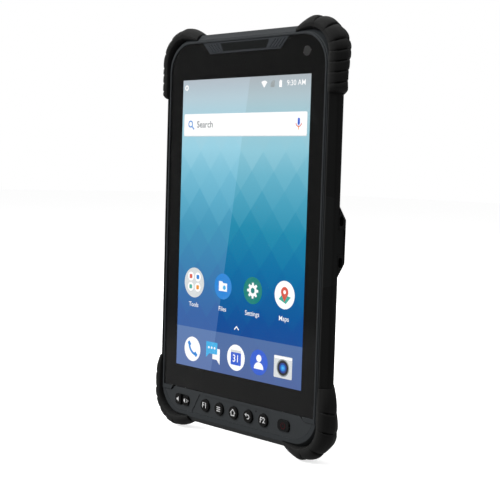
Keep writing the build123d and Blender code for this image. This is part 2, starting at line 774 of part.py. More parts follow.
with BuildPart() as lug_zone:
    with BuildSketch(Plane.YZ) as lug_outline:
        with BuildLine():
            Polyline((face_y, mid_z - lug_half), (lug_back_y, mid_z - lug_half_back),
                     (lug_back_y, mid_z + lug_half_back), (face_y, mid_z + lug_half), close=True)
        make_face()
    extrude(lug_outline.sketch, amount=side_x + 1)
    slab((cavity_x - 12, side_x + 1), (-total_depth, total_depth), (0, bumper_height))

with BuildPart() as boss:
    with BuildSketch(Plane.YZ) as boss_outline:
        with BuildLine():
            Polyline((shoulder_y, mid_z - boss_half), (shoulder_y + boss_depth, mid_z - boss_flat_half),
                     (lug_back_y, mid_z - boss_flat_half + 2), (lug_back_y, mid_z + boss_flat_half - 2),
                     (shoulder_y + boss_depth, mid_z + boss_flat_half), (shoulder_y,
                           mid_z + boss_half), close=True)
        make_face()
    extrude(boss_outline.sketch, amount=side_x)
    with BuildSketch(Plane.XY) as boss_section:
        with BuildLine():
            boss_edge_y = shoulder_y + boss_depth
            Polyline((cavity_x - 10, shoulder_y), (side_x, shoulder_y), (side_x, boss_edge_y),
                     (side_x - boss_back_chamfer, boss_edge_y + boss_back_chamfer),
                     (cavity_x - 10, boss_edge_y + boss_back_chamfer), close=True)
        make_face()
    extrude(boss_section.sketch, amount=bumper_height, mode=Mode.INTERSECT)

with BuildPart() as strap_lug_right:
    add(outer_skin.part)
    add(lug_zone.part, mode=Mode.INTERSECT)
    add(boss.part)
    add(inner_skin.part, mode=Mode.SUBTRACT)
    slab((side_x - seat_depth, side_x + 1), (shoulder_y - 1.1, shoulder_y + boss_depth - 0.4),
         (mid_z - seat_half, mid_z + seat_half), Mode.SUBTRACT)
    with BuildSketch(Plane(origin=(side_x, 0, mid_z), x_dir=(0, 1, 0), z_dir=(1, 0, 0))) as strap:
        with Locations((slot_y, slot_pitch / 2), (slot_y, -slot_pitch / 2)):
            SlotOverall(slot_length, slot_width, rotation=90)
    extrude(strap.sketch, amount=-slot_depth, mode=Mode.SUBTRACT)
keep("strap_lug_right", strap_lug_right)

with BuildPart() as strap_lug_left:
    add(strap_lug_right.part.mirror(Plane.YZ))
keep("strap_lug_left", strap_lug_left)

with BuildPart() as grips:
    add(outer_skin.part)
    slab((cavity_x - 12, side_x + 1), (-total_depth, lug_back_y),
          (mid_z - bumper_end_z, mid_z + bumper_end_z))
    add(inner_skin.part, mode=Mode.SUBTRACT)
    add(lug_zone.part, mode=Mode.SUBTRACT)
lower_grip, upper_grip = grips.solids().sort_by(Axis.Z)

with BuildPart() as side_grip_right_upper:
    add(upper_grip)
keep("side_grip_right_upper", side_grip_right_upper)

with BuildPart() as side_grip_right_lower:
    add(lower_grip)
keep("side_grip_right_lower", side_grip_right_lower)

with BuildPart() as side_grip_left_lower:
    add(lower_grip.mirror(Plane.YZ))
keep("side_grip_left_lower", side_grip_left_lower)

with BuildPart() as side_grip_left_upper:
    add(upper_grip.mirror(Plane.YZ))
    slab((-side_x - 1, 0), (seam_y, door_back_y), (door_low, door_high), Mode.SUBTRACT)
keep("side_grip_left_upper", side_grip_left_upper)

with BuildPart() as port_door:
    add(outer_skin.part)
    slab((-side_x - 1, -cavity_x + 12), (seam_y + gap, door_back_y - gap), (door_low, door_high - gap))
    add(inner_skin.part, mode=Mode.SUBTRACT)
    slab((-skin_x, -skin_x + door_plug), (seam_y + 1.1, port_y - 0.4),
          (door_low + 5.4, door_high - 4.4), Mode.ADD)
keep("port_door", port_door)

# ---- electronics ----
with BuildPart() as main_board:
    block(0, board_z, board_width, board_height, board_y, board_back_y, 1.5)
    for x in (-board_width / 2 + 4, board_width / 2 - 4):
        for z in (board_z - board_height / 2 + 4, board_z + board_height / 2 - 4):
            disc(x, z, 2.2, board_y, board_back_y, Mode.SUBTRACT)
keep("main_board", main_board)

with BuildPart() as board_screws:
    for x in (-board_width / 2 + 4, board_width / 2 - 4):
        for z in (board_z - board_height / 2 + 4, board_z + board_height / 2 - 4):
            disc(x, z, 3.6, board_back_y, board_back_y + 0.8)
            disc(x, z, 2.2, board_y, board_back_y)
keep("board_screws", board_screws)

with BuildPart() as shield_cans:
    for x, rise, width, height in ((-4, -6, 24, 26), (board_width / 2 - 23, -9, 18, 20),
                                   (-board_width / 2 + 13, -8, 16, 22)):
        block(x, board_z + rise, width, height, board_back_y, board_back_y + can_height, 0.8)
keep("shield_cans", shield_cans)

with BuildPart() as gnss_antenna:
    block(-board_width / 2 + 26, board_z + board_height / 2 - 12, 18, 18, board_back_y,
          board_back_y + 4.0, 0.5)
keep("gnss_antenna", gnss_antenna)

with BuildPart() as vibration_motor:
    disc(-board_width / 2 + 10, board_z + 12, 8.0, board_back_y, board_back_y + 3.0)
keep("vibration_motor", vibration_motor)

with BuildPart() as rear_camera:
    block(camera_x, camera_z, camera_body, camera_body, board_back_y, inner_back_y - 1.5, 0.6)
    disc(camera_x, camera_z, camera_lens, inner_back_y - 1.5, back_y - 1.2)
keep("rear_camera", rear_camera)

with BuildPart() as camera_glass:
    disc(camera_x, camera_z, camera_window, back_y - 1.0, back_y - 0.2)
keep("camera_glass", camera_glass)

with BuildPart() as flash_lamp:
    block(camera_x, flash_z, 3.2, 3.2, board_back_y, inner_back_y - 0.4, 0.4)
keep("flash_lamp", flash_lamp)

with BuildPart() as flash_glass:
    disc(camera_x, flash_z, flash_diameter, back_y - 1.0, back_y - 0.1)
keep("flash_glass", flash_glass)

with BuildPart() as battery_contacts:
    slab((-contact_half, contact_half), (contact_y, contact_y + contact_depth),
         (bay_top_z - bay_ledge - gap, bay_top_z + wall + gap + 6), Mode.ADD)
    slab((-contact_half, contact_half), (board_back_y, contact_y),
         (bay_top_z + wall + gap + 3.2, bay_top_z + wall + gap + 6), Mode.ADD)
keep("battery_contacts", battery_contacts)

with BuildPart() as port_board:
    slab((boss_x, boss_x + 9), (port_y, port_y + port_board_thickness), (door_low + 6, door_high - 4),
          Mode.ADD)
keep("port_board", port_board)

with BuildPart() as usb_socket:
    slab((-skin_x + port_depth, -skin_x + port_depth + usb_length), (port_y - usb_thickness, port_y),
         (usb_z - usb_width / 2, usb_z + usb_width / 2), Mode.ADD)
    fillet(usb_socket.edges().filter_by(Axis.X), usb_thickness * 0.45)
    slab((-skin_x, -skin_x + port_depth + usb_length - 1.5), (port_y - usb_thickness + 0.35, port_y - 0.35),
         (usb_z - usb_width / 2 + 0.35, usb_z + usb_width / 2 - 0.35), Mode.SUBTRACT)
    slab((-skin_x + port_depth + 1, -skin_x + port_depth + usb_length - 1.5),
         (port_y - usb_thickness / 2 - 0.35, port_y - usb_thickness / 2 + 0.35),
         (usb_z - usb_width / 2 + 1.2, usb_z + usb_width / 2 - 1.2), Mode.ADD)
keep("usb_socket", usb_socket)

with BuildPart() as card_reader:
    slab((-skin_x + port_depth, -skin_x + port_depth + reader_length), (port_y - reader_thickness, port_y),
         (reader_z - reader_width / 2, reader_z + reader_width / 2), Mode.ADD)
    slab((-skin_x, -skin_x + port_depth + reader_length - 1), (port_y - reader_thickness + 0.4,
          port_y - 0.5),
         (reader_z - reader_width / 2 + 0.8, reader_z + reader_width / 2 - 0.8), Mode.SUBTRACT)
keep("card_reader", card_reader)

with BuildPart() as speaker_mesh:
    block(speaker_x, speaker_z, speaker_width - 2, speaker_height - 1, inner_back_y - mesh_thickness,
          inner_back_y, 1.0)
keep("speaker_mesh", speaker_mesh)

with BuildPart() as speaker:
    block(speaker_x, speaker_z, speaker_width, speaker_height,
          inner_back_y - mesh_thickness - speaker_depth,
          inner_back_y - mesh_thickness, 1.5)
keep("speaker", speaker)

with BuildPart() as dock_block:
    block(0, dock_z, dock_width, dock_height, inner_back_y, back_y - 0.2, 1.9)
    block(0, dock_z, dock_width + 4, dock_height + 4, inner_back_y - 1.4, inner_back_y, 1.9)
    for number in range(dock_pins):
        x = (number - (dock_pins - 1) / 2) * dock_pitch
        disc(x, dock_z, 1.6, inner_back_y - 1.4, back_y, Mode.SUBTRACT)
keep("dock_block", dock_block)

with BuildPart() as dock_contacts:
    for number in range(dock_pins):
        disc((number - (dock_pins - 1) / 2) * dock_pitch, dock_z, 1.6, inner_back_y - 2.0, back_y - 0.1)
keep("dock_contacts", dock_contacts)

# ---- battery, cover, latches ----
with BuildPart() as battery_pack:
    block(0, bay_z, bay_width - 2 * bay_ledge - 2 * gap, bay_height - 2 * bay_ledge - 2 * gap,
          bay_floor_y, cover_y - gap, 1.8)
keep("battery_pack", battery_pack)

with BuildPart() as battery_cover:
    block(0, bay_z, bay_width - 2 * gap, bay_height - 2 * gap, cover_y, back_y, 2.3)
    chamfer(battery_cover.faces().sort_by(Axis.Y)[-1].edges(), cover_edge)
    for side in (-1, 1):
        block(side * latch_x, bay_top_z - 1.0, tongue_width + 2 * gap, 2 * tongue_length,
              tongue_y - 0.1, back_y, 0.0, Mode.SUBTRACT)
keep("battery_cover", battery_cover)

for side, name in ((-1, "battery_latch_left"), (1, "battery_latch_right")):
    with BuildPart() as latch:
        block(side * latch_x, latch_z, latch_width, latch_height, latch_y, back_y, 1.0)
        for number in range(4):
            block(side * latch_x, latch_z - 2.4 + number * 1.6, latch_width - 4, 0.7, back_y, back_y + 0.4)
        block(side * latch_x, bay_top_z - tongue_length + (latch_rise + tongue_length + 1) / 2,
              tongue_width,
              latch_rise + tongue_length + 1, tongue_y, tongue_y + tongue_thickness)
        block(side * latch_x, latch_z, stem_width, stem_height, inner_back_y - 0.2, latch_y)
        block(side * latch_x, latch_z, clip_width, clip_height, inner_back_y - 0.2 - clip_thickness,
              inner_back_y - 0.2)
    keep(name, latch)

# ---- export ----
os.makedirs("parts", exist_ok=True)
for name, shape in nodes.items():
    export_step(shape, f"parts/{name}.step")
print(len(nodes), "nodes")
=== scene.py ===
"""Looks, floor, lights and camera for a rugged eight-inch tablet that serves as a field data collector."""

from __future__ import annotations

import logging
import math
from dataclasses import dataclass, field
from enum import Enum
from typing import Callable, NamedTuple, Sequence, Union

import bmesh
import bpy
from mathutils import Euler, Matrix, Vector
from mathutils.geometry import tessellate_polygon


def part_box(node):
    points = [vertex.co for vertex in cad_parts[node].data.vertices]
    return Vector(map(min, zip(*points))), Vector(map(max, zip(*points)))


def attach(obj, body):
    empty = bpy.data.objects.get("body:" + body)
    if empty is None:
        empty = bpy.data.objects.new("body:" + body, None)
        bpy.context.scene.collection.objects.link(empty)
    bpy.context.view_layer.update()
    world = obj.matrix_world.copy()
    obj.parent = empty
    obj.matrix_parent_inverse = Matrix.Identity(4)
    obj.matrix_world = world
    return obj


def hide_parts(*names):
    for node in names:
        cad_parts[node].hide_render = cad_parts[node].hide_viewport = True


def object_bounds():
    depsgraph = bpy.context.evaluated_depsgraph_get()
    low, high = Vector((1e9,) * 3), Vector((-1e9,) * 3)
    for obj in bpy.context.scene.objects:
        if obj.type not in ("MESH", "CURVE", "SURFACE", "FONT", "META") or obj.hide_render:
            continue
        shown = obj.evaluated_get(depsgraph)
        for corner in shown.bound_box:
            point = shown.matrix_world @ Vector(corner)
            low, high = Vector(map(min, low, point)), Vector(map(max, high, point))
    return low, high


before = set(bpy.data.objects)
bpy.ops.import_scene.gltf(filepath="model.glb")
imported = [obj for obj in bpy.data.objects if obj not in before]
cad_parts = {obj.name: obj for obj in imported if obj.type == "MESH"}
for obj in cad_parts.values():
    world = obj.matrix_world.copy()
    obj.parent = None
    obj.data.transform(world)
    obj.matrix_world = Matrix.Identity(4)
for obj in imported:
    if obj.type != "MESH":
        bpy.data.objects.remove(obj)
CAD_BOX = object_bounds()

MM = 0.001
MAIN_BODY = "tablet"
LOG = logging.getLogger("scene")

Colour = tuple[float, float, float]
Point = tuple[float, float]
Loop = list[Point]


def screen_colour(red: int, green: int, blue: int) -> Colour:
    """Turns a colour in display steps, 0 to 255, into linear light.

    Args:
        red: Red step.
        green: Green step.
        blue: Blue step.

    Returns:
        The linear colour.
    """
    shares = (step / 255 for step in (red, green, blue))
    return tuple(s / 12.92 if s <= 0.04045 else ((s + 0.055) / 1.055) ** 2.4 for s in shares)


# ---- shader graphs ----


class Signal:
    """A shader socket that takes part in arithmetic."""

    def __init__(self, graph: Graph, socket: bpy.types.NodeSocket) -> None:
        """Keeps the socket and the graph that it belongs to."""
        self.graph = graph
        self.socket = socket

    def math(self, operation: str, *others: Operand) -> Signal:
        """Adds a Math node with this signal first.

        Args:
            operation: The node's operation.
            others: The values or signals that follow.

        Returns:
            The node's result.
        """
        node = self.graph.add("ShaderNodeMath", {"operation": operation}, dict(enumerate((self, *others))))
        return Signal(self.graph, node.outputs[0])

    def __add__(self, other: Operand) -> Signal:
        """Sum."""
        return self.math("ADD", other)

    def __radd__(self, other: float) -> Signal:
        """Sum with the number first."""
        return self.math("ADD", other)

    def __sub__(self, other: Operand) -> Signal:
        """Difference."""
        return self.math("SUBTRACT", other)

    def __rsub__(self, other: float) -> Signal:
        """Difference with the number first."""
        return self.math("MULTIPLY", -1.0).math("ADD", other)

    def __mul__(self, other: Operand) -> Signal:
        """Product."""
        return self.math("MULTIPLY", other)

    def __rmul__(self, other: float) -> Signal:
        """Product with the number first."""
        return self.math("MULTIPLY", other)

    def __truediv__(self, other: Operand) -> Signal:
        """Quotient."""
        return self.math("DIVIDE", other)

    def __gt__(self, other: Operand) -> Signal:
        """One where this is greater, else zero."""
        return self.math("GREATER_THAN", other)

    def __lt__(self, other: Operand) -> Signal:
        """One where this is less, else zero."""
        return self.math("LESS_THAN", other)

    def __abs__(self) -> Signal:
        """Size without sign."""
        return self.math("ABSOLUTE")


Operand = Union[Signal, float]


class Graph:
    """Builds one node tree."""

    def __init__(self, tree: bpy.types.NodeTree) -> None:
        """Empties the tree and keeps it."""
        tree.nodes.clear()
        self.tree = tree

    def add(self, kind: str, settings: dict | None = None, sockets: dict | None = None) -> bpy.types.Node:
        """Adds a node.

        Args:
            kind: The node's type.
            settings: Its properties; "stops" fills a colour ramp with (place, colour) pairs.
            sockets: Values, signals or sockets for its inputs, by name or number.

        Returns:
            The node.
        """
        node = self.tree.nodes.new(kind)
        for key, value in (settings or {}).items():
            if key == "stops":
                self._fill_ramp(node.color_ramp, value)
            else:
                setattr(node, key, value)
        for key, value in (sockets or {}).items():
            if isinstance(value, Signal):
                value = value.socket
            if isinstance(value, bpy.types.NodeSocket):
                self.tree.links.new(value, node.inputs[key])
            else:
                node.inputs[key].default_value = value
        return node

    @staticmethod
    def _fill_ramp(ramp: bpy.types.ColorRamp, stops: Sequence[tuple[float, Colour]]) -> None:
        """Gives a colour ramp its stops."""
        while len(ramp.elements) < len(stops):
            ramp.elements.new(1.0)
        for element, (place, colour) in zip(ramp.elements, stops):
            element.position = place
            element.color = (*colour, 1.0)

    def value(self, kind: str, output: str | int, settings: dict | None = None,
              sockets: dict | None = None) -> Signal:
        """Adds a node and returns one of its outputs as a signal.

        Args:
            kind: The node's type.
            output: The output's name or number.
            settings: As for add.
            sockets: As for add.

        Returns:
            The chosen output.
        """
        return Signal(self, self.add(kind, settings, sockets).outputs[output])

    def place(self) -> Signal:
        """The surface point in the object's own frame, in metres."""
        return self.value("ShaderNodeTexCoord", "Object")

    def axes(self, vector: Signal) -> tuple[Signal, Signal, Signal]:
        """Splits a vector into its three numbers."""
        node = self.add("ShaderNodeSeparateXYZ", None, {"Vector": vector})
        return tuple(Signal(self, output) for output in node.outputs)

    def noise(self, size: float, detail: float = 2.0, vector: Signal | None = None) -> Signal:
        """Soft noise from 0 to 1.

        Args:
            size: Distance between its hills, in millimetres.
            detail: How many finer layers it has.
            vector: Where it is read, or None for the surface point.

        Returns:
            The noise.
        """
        sockets = {"Vector": vector or self.place(), "Scale": 1 / (size * MM), "Detail": detail}
        return self.value("ShaderNodeTexNoise", "Fac", None, sockets)

    def blend(self, share: Operand, first: Colour | Signal, second: Colour | Signal) -> Signal:
        """Mixes two colours.

        Args:
            share: How much of the second one shows.
            first: A colour.
            second: Another colour.

        Returns:
            The mixed colour.
        """
        first, second = ((*c, 1.0) if isinstance(c, tuple) else c for c in (first, second))
        settings = {"data_type": "RGBA", "clamp_factor": True}
        return self.value("ShaderNodeMix", 2, settings, {0: share, 6: first, 7: second})

    def bump(self, height: Signal, depth: float) -> Signal:
        """Surface normal of a small relief.

        Args:
            height: The relief, from 0 to 1.
            depth: Its depth in millimetres.

        Returns:
            The normal.
        """
        return self.value("ShaderNodeBump", "Normal", None, {"Height": height, "Distance": depth * MM})

    def surface(self, sockets: dict) -> None:
        """Ends the tree in a Principled shader with those sockets."""
        shader = self.add("ShaderNodeBsdfPrincipled", None, sockets)
        self.add("ShaderNodeOutputMaterial", None, {"Surface": shader.outputs[0]})


# ---- finishes ----


@dataclass(frozen=True)
class Finish:
    """A surface finish; each kind builds its own nodes."""

    name: str

    def material(self) -> bpy.types.Material:
        """The finish's material, made once."""
        title = self.name + "_finish"
        made = bpy.data.materials.get(title)
        if made is None:
            made = bpy.data.materials.new(title)
            made.use_nodes = True
            self.build(Graph(made.node_tree))
        return made

    def build(self, graph: Graph) -> None:
        """Adds the nodes."""
        raise NotImplementedError


@dataclass(frozen=True)
class Moulding(Finish):
    """Moulded plastic or rubber: eroded grain, mottled colour, edges rubbed paler."""

    colour: Colour
    roughness: float = 0.5
    grain: float = 0.4
    depth: float = 0.02
    mottling: float = 0.15
    rubbed: float = 0.25
    edge: float = 0.35
    specular: float = 0.5
    sheen: float = 0.0

    def build(self, graph: Graph) -> None:
        """Adds the nodes."""
        grain = graph.noise(self.grain, 3.0)
        patches = graph.noise(14.0, 3.0)
        speckle = graph.noise(self.grain * 2.2, 1.0)
        pale = tuple(min(1.0, c * 1.7 + 0.02) for c in self.colour)
        dark = tuple(c * (1 - self.mottling * 2) for c in self.colour)
        light = tuple(c * (1 + self.mottling * 2) for c in self.colour)
        body = graph.blend(patches * 0.6 + speckle * 0.4, dark, light)
        bevel = graph.value("ShaderNodeBevel", "Normal", {"samples": 4}, {"Radius": self.edge * MM})
        flat = graph.value("ShaderNodeNewGeometry", "Normal")
        likeness = graph.value("ShaderNodeVectorMath", "Value", {"operation": "DOT_PRODUCT"},
                               {0: bevel, 1: flat})
        wear = (1 - likeness) * 3.0 * self.rubbed * (0.5 + patches)
        graph.surface({
            "Base Color": graph.blend(wear, body, pale),
            "Roughness": self.roughness + (grain - 0.5) * 0.16 - wear * 0.2,
            "Specular IOR Level": self.specular,
            "Sheen Weight": self.sheen,
            "Normal": graph.bump(grain * 0.7 + speckle * 0.3, self.depth),
        })


@dataclass(frozen=True)
class Metal(Finish):
    """Brushed or cast metal: fine lines along X, patches of duller skin."""

    colour: Colour
    roughness: float = 0.35
    lines: float = 0.12
    stretch: float = 12.0

    def build(self, graph: Graph) -> None:
        """Adds the nodes."""
        scale = (1 / self.stretch, 1.0, 1.0)
        along = graph.value("ShaderNodeVectorMath", "Vector", {"operation": "MULTIPLY"},
                            {0: graph.place(), 1: scale})
        lines = graph.noise(self.lines, 2.0, along)
        patches = graph.noise(5.0, 3.0)
        dull = tuple(c * 0.72 for c in self.colour)
        graph.surface({
            "Base Color": graph.blend(patches * 0.6 + lines * 0.2, self.colour, dull),
            "Metallic": 0.95 - patches * 0.1,
            "Roughness": self.roughness + (lines - 0.5) * 0.2 + (patches - 0.5) * 0.15,
            "Normal": graph.bump(lines, 0.006),
        })


@dataclass(frozen=True)
class Glazing(Finish):
    """Clear or tinted glass with faint smears."""

    tint: Colour = (1.0, 1.0, 1.0)
    ior: float = 1.42
    smear: float = 0.012

    def build(self, graph: Graph) -> None:
        """Adds the nodes."""
        smears = graph.noise(22.0, 4.0)
        graph.surface({
            "Base Color": graph.blend(smears, self.tint, tuple(c * 0.985 for c in self.tint)),
            "Roughness": smears.math("MULTIPLY", self.smear),
            "Transmission Weight": 1.0,
            "IOR": self.ior,
        })


@dataclass(frozen=True)
class Lens(Finish):
    """Dark coated glass over a small camera or lamp, opaque, with a coloured bloom."""

    colour: Colour
    bloom: Colour
    roughness: float = 0.08

    def build(self, graph: Graph) -> None:
        """Adds the nodes."""
        cloud = graph.noise(2.4, 1.0)
        graph.surface({
            "Base Color": graph.blend((cloud - 0.45) * 1.5, self.colour, self.bloom),
            "Roughness": self.roughness + graph.noise(0.6, 2.0) * 0.05,
            "IOR": 1.5,
            "Coat Weight": 0.6,
            "Coat Roughness": 0.03,
        })


@dataclass(frozen=True)
class Print(Finish):
    """Pad-printed or screen-printed ink: even, with a faintly ragged sheen."""

    colour: Colour
    roughness: float = 0.45
    specular: float = 0.5

    def build(self, graph: Graph) -> None:
        """Adds the nodes."""
        tooth = graph.noise(0.12, 2.0)
        thin = graph.noise(1.5, 2.0)
        graph.surface({
            "Base Color": graph.blend(thin * 0.5, self.colour, tuple(c * 0.8 for c in self.colour)),
            "Roughness": self.roughness + (tooth - 0.5) * 0.15,
            "Specular IOR Level": self.specular,
            "Normal": graph.bump(tooth, 0.004),
        })


@dataclass(frozen=True)
class LitMark(Finish):
    """A mark in the lit picture, a little uneven like a backlight."""

    colour: Colour

    def build(self, graph: Graph) -> None:
        """Adds the nodes."""
        evenness = graph.noise(30.0, 1.0)
        dim = tuple(c * 0.94 for c in self.colour)
        graph.surface({
            "Base Color": (0.0, 0.0, 0.0, 1.0),
            "Emission Color": graph.blend(evenness, self.colour, dim),
            "Emission Strength": 1.14,
            "Roughness": 0.6 + evenness * 0.1,
        })


@dataclass(frozen=True)
class Wallpaper(Finish):
    """The lit background picture: a blue fade cut into facets, a painted glare that makes its left part
    paler, and a dock strip.
    """

    middle: Point
    height: float
    stops: tuple[tuple[float, Colour], ...]
    # colour added over the picture's left part as a painted glare, standing in for a reflection in the glass;
    # the next two fields place its slanted edge
    veil: Colour
    veil_place: float = -8.0
    veil_slope: float = 0.157
    facet: float = 22.0
    slant: float = 1.22
    step: float = 0.4
    dock: Point = (-86.15, -62.2)

    def build(self, graph: Graph) -> None:
        """Adds the nodes."""
        x, _, z = graph.axes(graph.place())
        x = x / MM - self.middle[0]
        z = z / MM - self.middle[1]
        rise = z / self.height + 0.5
        one, two = (((z + x * slant) / self.facet).math("FLOOR") for slant in (self.slant, -self.slant))
        cell = graph.value("ShaderNodeCombineXYZ", 0, None, {0: one, 1: two})
        tone = graph.value("ShaderNodeTexWhiteNoise", "Value", {"noise_dimensions": "3D"}, {"Vector": cell})
        level = (one + two + 1) * (self.facet / 2)
        below = ((0.92 - rise) * 4.0).math("MINIMUM", 1.0).math("MAXIMUM", 0.0)
        shade = ((level - z) * (self.step / self.height) + (tone - 0.5) * 0.02) * below
        lit = rise + shade
        fade = graph.value("ShaderNodeValToRGB", "Color", {"stops": self.stops}, {"Fac": lit})
        # painted glare: left of a slanted line the picture gets a pale colour added, standing in for a
        # reflection in the glass
        left = (x - z * self.veil_slope) < self.veil_place
        with_painted_glare = graph.value("ShaderNodeVectorMath", "Vector", {"operation": "ADD"}, {0: fade, 1: self.veil})
        paper = graph.blend(left, fade, with_painted_glare)
        strip = (z < self.dock[1]) * 0.1
        graph.surface({
            "Base Color": (0.0, 0.0, 0.0, 1.0),
            "Emission Color": graph.blend(strip, paper, (0.8, 1.0, 1.0)),
            "Emission Strength": 1.08,
            "Roughness": 0.5 + shade * 0.1,
            "Specular IOR Level": 0.0,
        })


@dataclass(frozen=True)
class CircuitBoard(Finish):
    """Green solder mask with copper tracks below it and pale pads."""

    colour: Colour = (0.012, 0.11, 0.045)

    def build(self, graph: Graph) -> None:
        """Adds the nodes."""
        track = graph.value("ShaderNodeTexBrick", "Fac", {"offset": 0.37}, {
            "Vector": graph.value("ShaderNodeVectorRotate", "Vector", {"rotation_type": "X_AXIS"}, {
                "Vector": graph.place(), "Angle": math.pi / 2}),
            "Scale": 260.0, "Mortar Size": 0.03})
        cells = graph.value("ShaderNodeTexVoronoi", "Distance", None,
                            {"Vector": graph.place(), "Scale": 420.0})
        pads = cells < 0.16
        copper = graph.blend(track * 0.5, self.colour, tuple(c * 2.4 for c in self.colour))
        graph.surface({
            "Base Color": graph.blend(pads, copper, (0.55, 0.5, 0.36)),
            "Metallic": pads * 0.7,
            "Roughness": 0.4 - pads * 0.1 + graph.noise(3.0) * 0.1,
            "Normal": graph.bump(track + pads, 0.02),
        })


@dataclass(frozen=True)
class WovenMesh(Finish):
    """Fine woven steel or a perforated sheet."""

    colour: Colour
    pitch: float = 0.5

    def build(self, graph: Graph) -> None:
        """Adds the nodes."""
        x, _, z = graph.axes(graph.place())
        waves = [(axis * (2 * math.pi / (self.pitch * MM))).math("SINE") for axis in (x, z)]
        weave = abs(waves[0]) * abs(waves[1])
        graph.surface({
            "Base Color": graph.blend(weave, (0.01, 0.01, 0.01), self.colour),
            "Metallic": weave,
            "Roughness": 0.35 + graph.noise(1.0) * 0.2,
            "Normal": graph.bump(weave, 0.08),
        })


@dataclass(frozen=True)
class Backdrop(Finish):
    """Pale matt floor with hardly visible unevenness, lit a little from within."""

    colour: Colour
    glow: float = 0.75

    def build(self, graph: Graph) -> None:
        """Adds the nodes."""
        cloud = graph.noise(180.0, 2.0)
        graph.surface({
            "Base Color": graph.blend(cloud, self.colour, tuple(c * 0.985 for c in self.colour)),
            "Roughness": 0.85 + cloud * 0.1,
            "Specular IOR Level": 0.1,
            "Emission Color": graph.blend(cloud, self.colour, tuple(c * 0.99 for c in self.colour)),
            "Emission Strength": self.glow,
        })


FRAME_PLASTIC = Moulding("frame_plastic", (0.034, 0.038, 0.041), 0.46, 0.28, 0.012, 0.08, 0.35, 0.3)
PANEL_PLASTIC = Moulding("panel_plastic", (0.040, 0.044, 0.047), 0.5, 0.25, 0.012, 0.06, 0.3, 0.25)
BADGE_PLASTIC = Moulding("badge_plastic", (0.034, 0.038, 0.043), 0.42, 0.25, 0.008, 0.06, 0.4, 0.2)
PLATE_PLASTIC = Moulding("plate_plastic", (0.008, 0.009, 0.009), 0.3, 0.25, 0.004, 0.1, 0.2, 0.2)
HOUSING_PLASTIC = Moulding("housing_plastic", (0.026, 0.029, 0.031), 0.5, 0.45, 0.03, 0.12, 0.3, 0.4)
COVER_PLASTIC = Moulding("cover_plastic", (0.024, 0.027, 0.029), 0.52, 0.5, 0.035, 0.12, 0.3, 0.4)
BUMPER_RUBBER = Moulding("bumper_rubber", (0.0145, 0.0147, 0.0144), 0.5, 0.5, 0.02, 0.14, 0.4, 0.5,
                         0.45, 0.03)
GRIP_RUBBER = Moulding("grip_rubber", (0.0095, 0.0098, 0.0097), 0.58, 0.4, 0.03, 0.14, 0.35, 0.4, 0.4, 0.03)
DOOR_RUBBER = Moulding("door_rubber", (0.010, 0.0104, 0.0102), 0.55, 0.4, 0.02, 0.12, 0.4, 0.35, 0.4, 0.03)
LUG_PLASTIC = Moulding("lug_plastic", (0.012, 0.013, 0.013), 0.46, 0.35, 0.02, 0.12, 0.4, 0.35)
KEY_PLASTIC = Moulding("key_plastic", (0.006, 0.006, 0.006), 0.26, 0.25, 0.004, 0.1, 0.2, 0.2)
LATCH_PLASTIC = Moulding("latch_plastic", (0.013, 0.014, 0.015), 0.4, 0.35, 0.02, 0.12, 0.45, 0.3)
MODULE_PLASTIC = Moulding("module_plastic", (0.008, 0.008, 0.009), 0.4, 0.3, 0.01)
FOAM = Moulding("foam", (0.012, 0.012, 0.012), 0.9, 0.6, 0.12, 0.2, 0.0, 0.2, 0.2, 0.1)
SEAL_RUBBER = Moulding("seal_rubber", (0.014, 0.012, 0.012), 0.65, 0.5, 0.03, 0.12, 0.1)
BACKLIGHT_WHITE = Moulding("backlight_white", (0.72, 0.73, 0.74), 0.35, 0.6, 0.01, 0.02, 0.0)
PACK_WRAP = Moulding("pack_wrap", (0.02, 0.045, 0.13), 0.3, 3.0, 0.05, 0.08, 0.2, 0.5)
CERAMIC = Moulding("ceramic", (0.62, 0.55, 0.42), 0.55, 0.3, 0.02, 0.05, 0.2)
LAMP_PLASTIC = Moulding("lamp_plastic", (0.78, 0.70, 0.32), 0.35, 0.3, 0.02, 0.05, 0.1)
SCREW_STEEL = Metal("screw_steel", (0.05, 0.052, 0.055), 0.36)
DOME_STEEL = Metal("dome_steel", (0.62, 0.62, 0.60), 0.25)
CAN_METAL = Metal("can_metal", (0.60, 0.61, 0.62), 0.38)
CHASSIS_ALLOY = Metal("chassis_alloy", (0.42, 0.43, 0.44), 0.5, 0.25, 3.0)
SOCKET_STEEL = Metal("socket_steel", (0.50, 0.51, 0.52), 0.3)
CONTACT_GOLD = Metal("contact_gold", (0.83, 0.62, 0.24), 0.24)
SPEAKER_MESH = WovenMesh("speaker_mesh_steel", (0.20, 0.21, 0.22))
BOARD_GREEN = CircuitBoard("board_green")
CAMERA_GLASS = Lens("camera_glass_coated", (0.004, 0.004, 0.007), (0.015, 0.01, 0.045))
FRONT_WINDOW = Lens("front_window_coated", (0.03, 0.03, 0.03), (0.034, 0.034, 0.036), 0.35)
FLASH_GLASS = Lens("flash_lens_moulded", (0.75, 0.72, 0.55), (0.85, 0.78, 0.4), 0.2)
PANE = Glazing("pane_glass")
BORDER_INK = Print("border_ink", (0.0062, 0.0064, 0.0062), 0.5, 0.0)
LEGEND_WHITE = Print("legend_white", (0.82, 0.82, 0.82))
LEGEND_RED = Print("legend_red", (0.045, 0.004, 0.006))

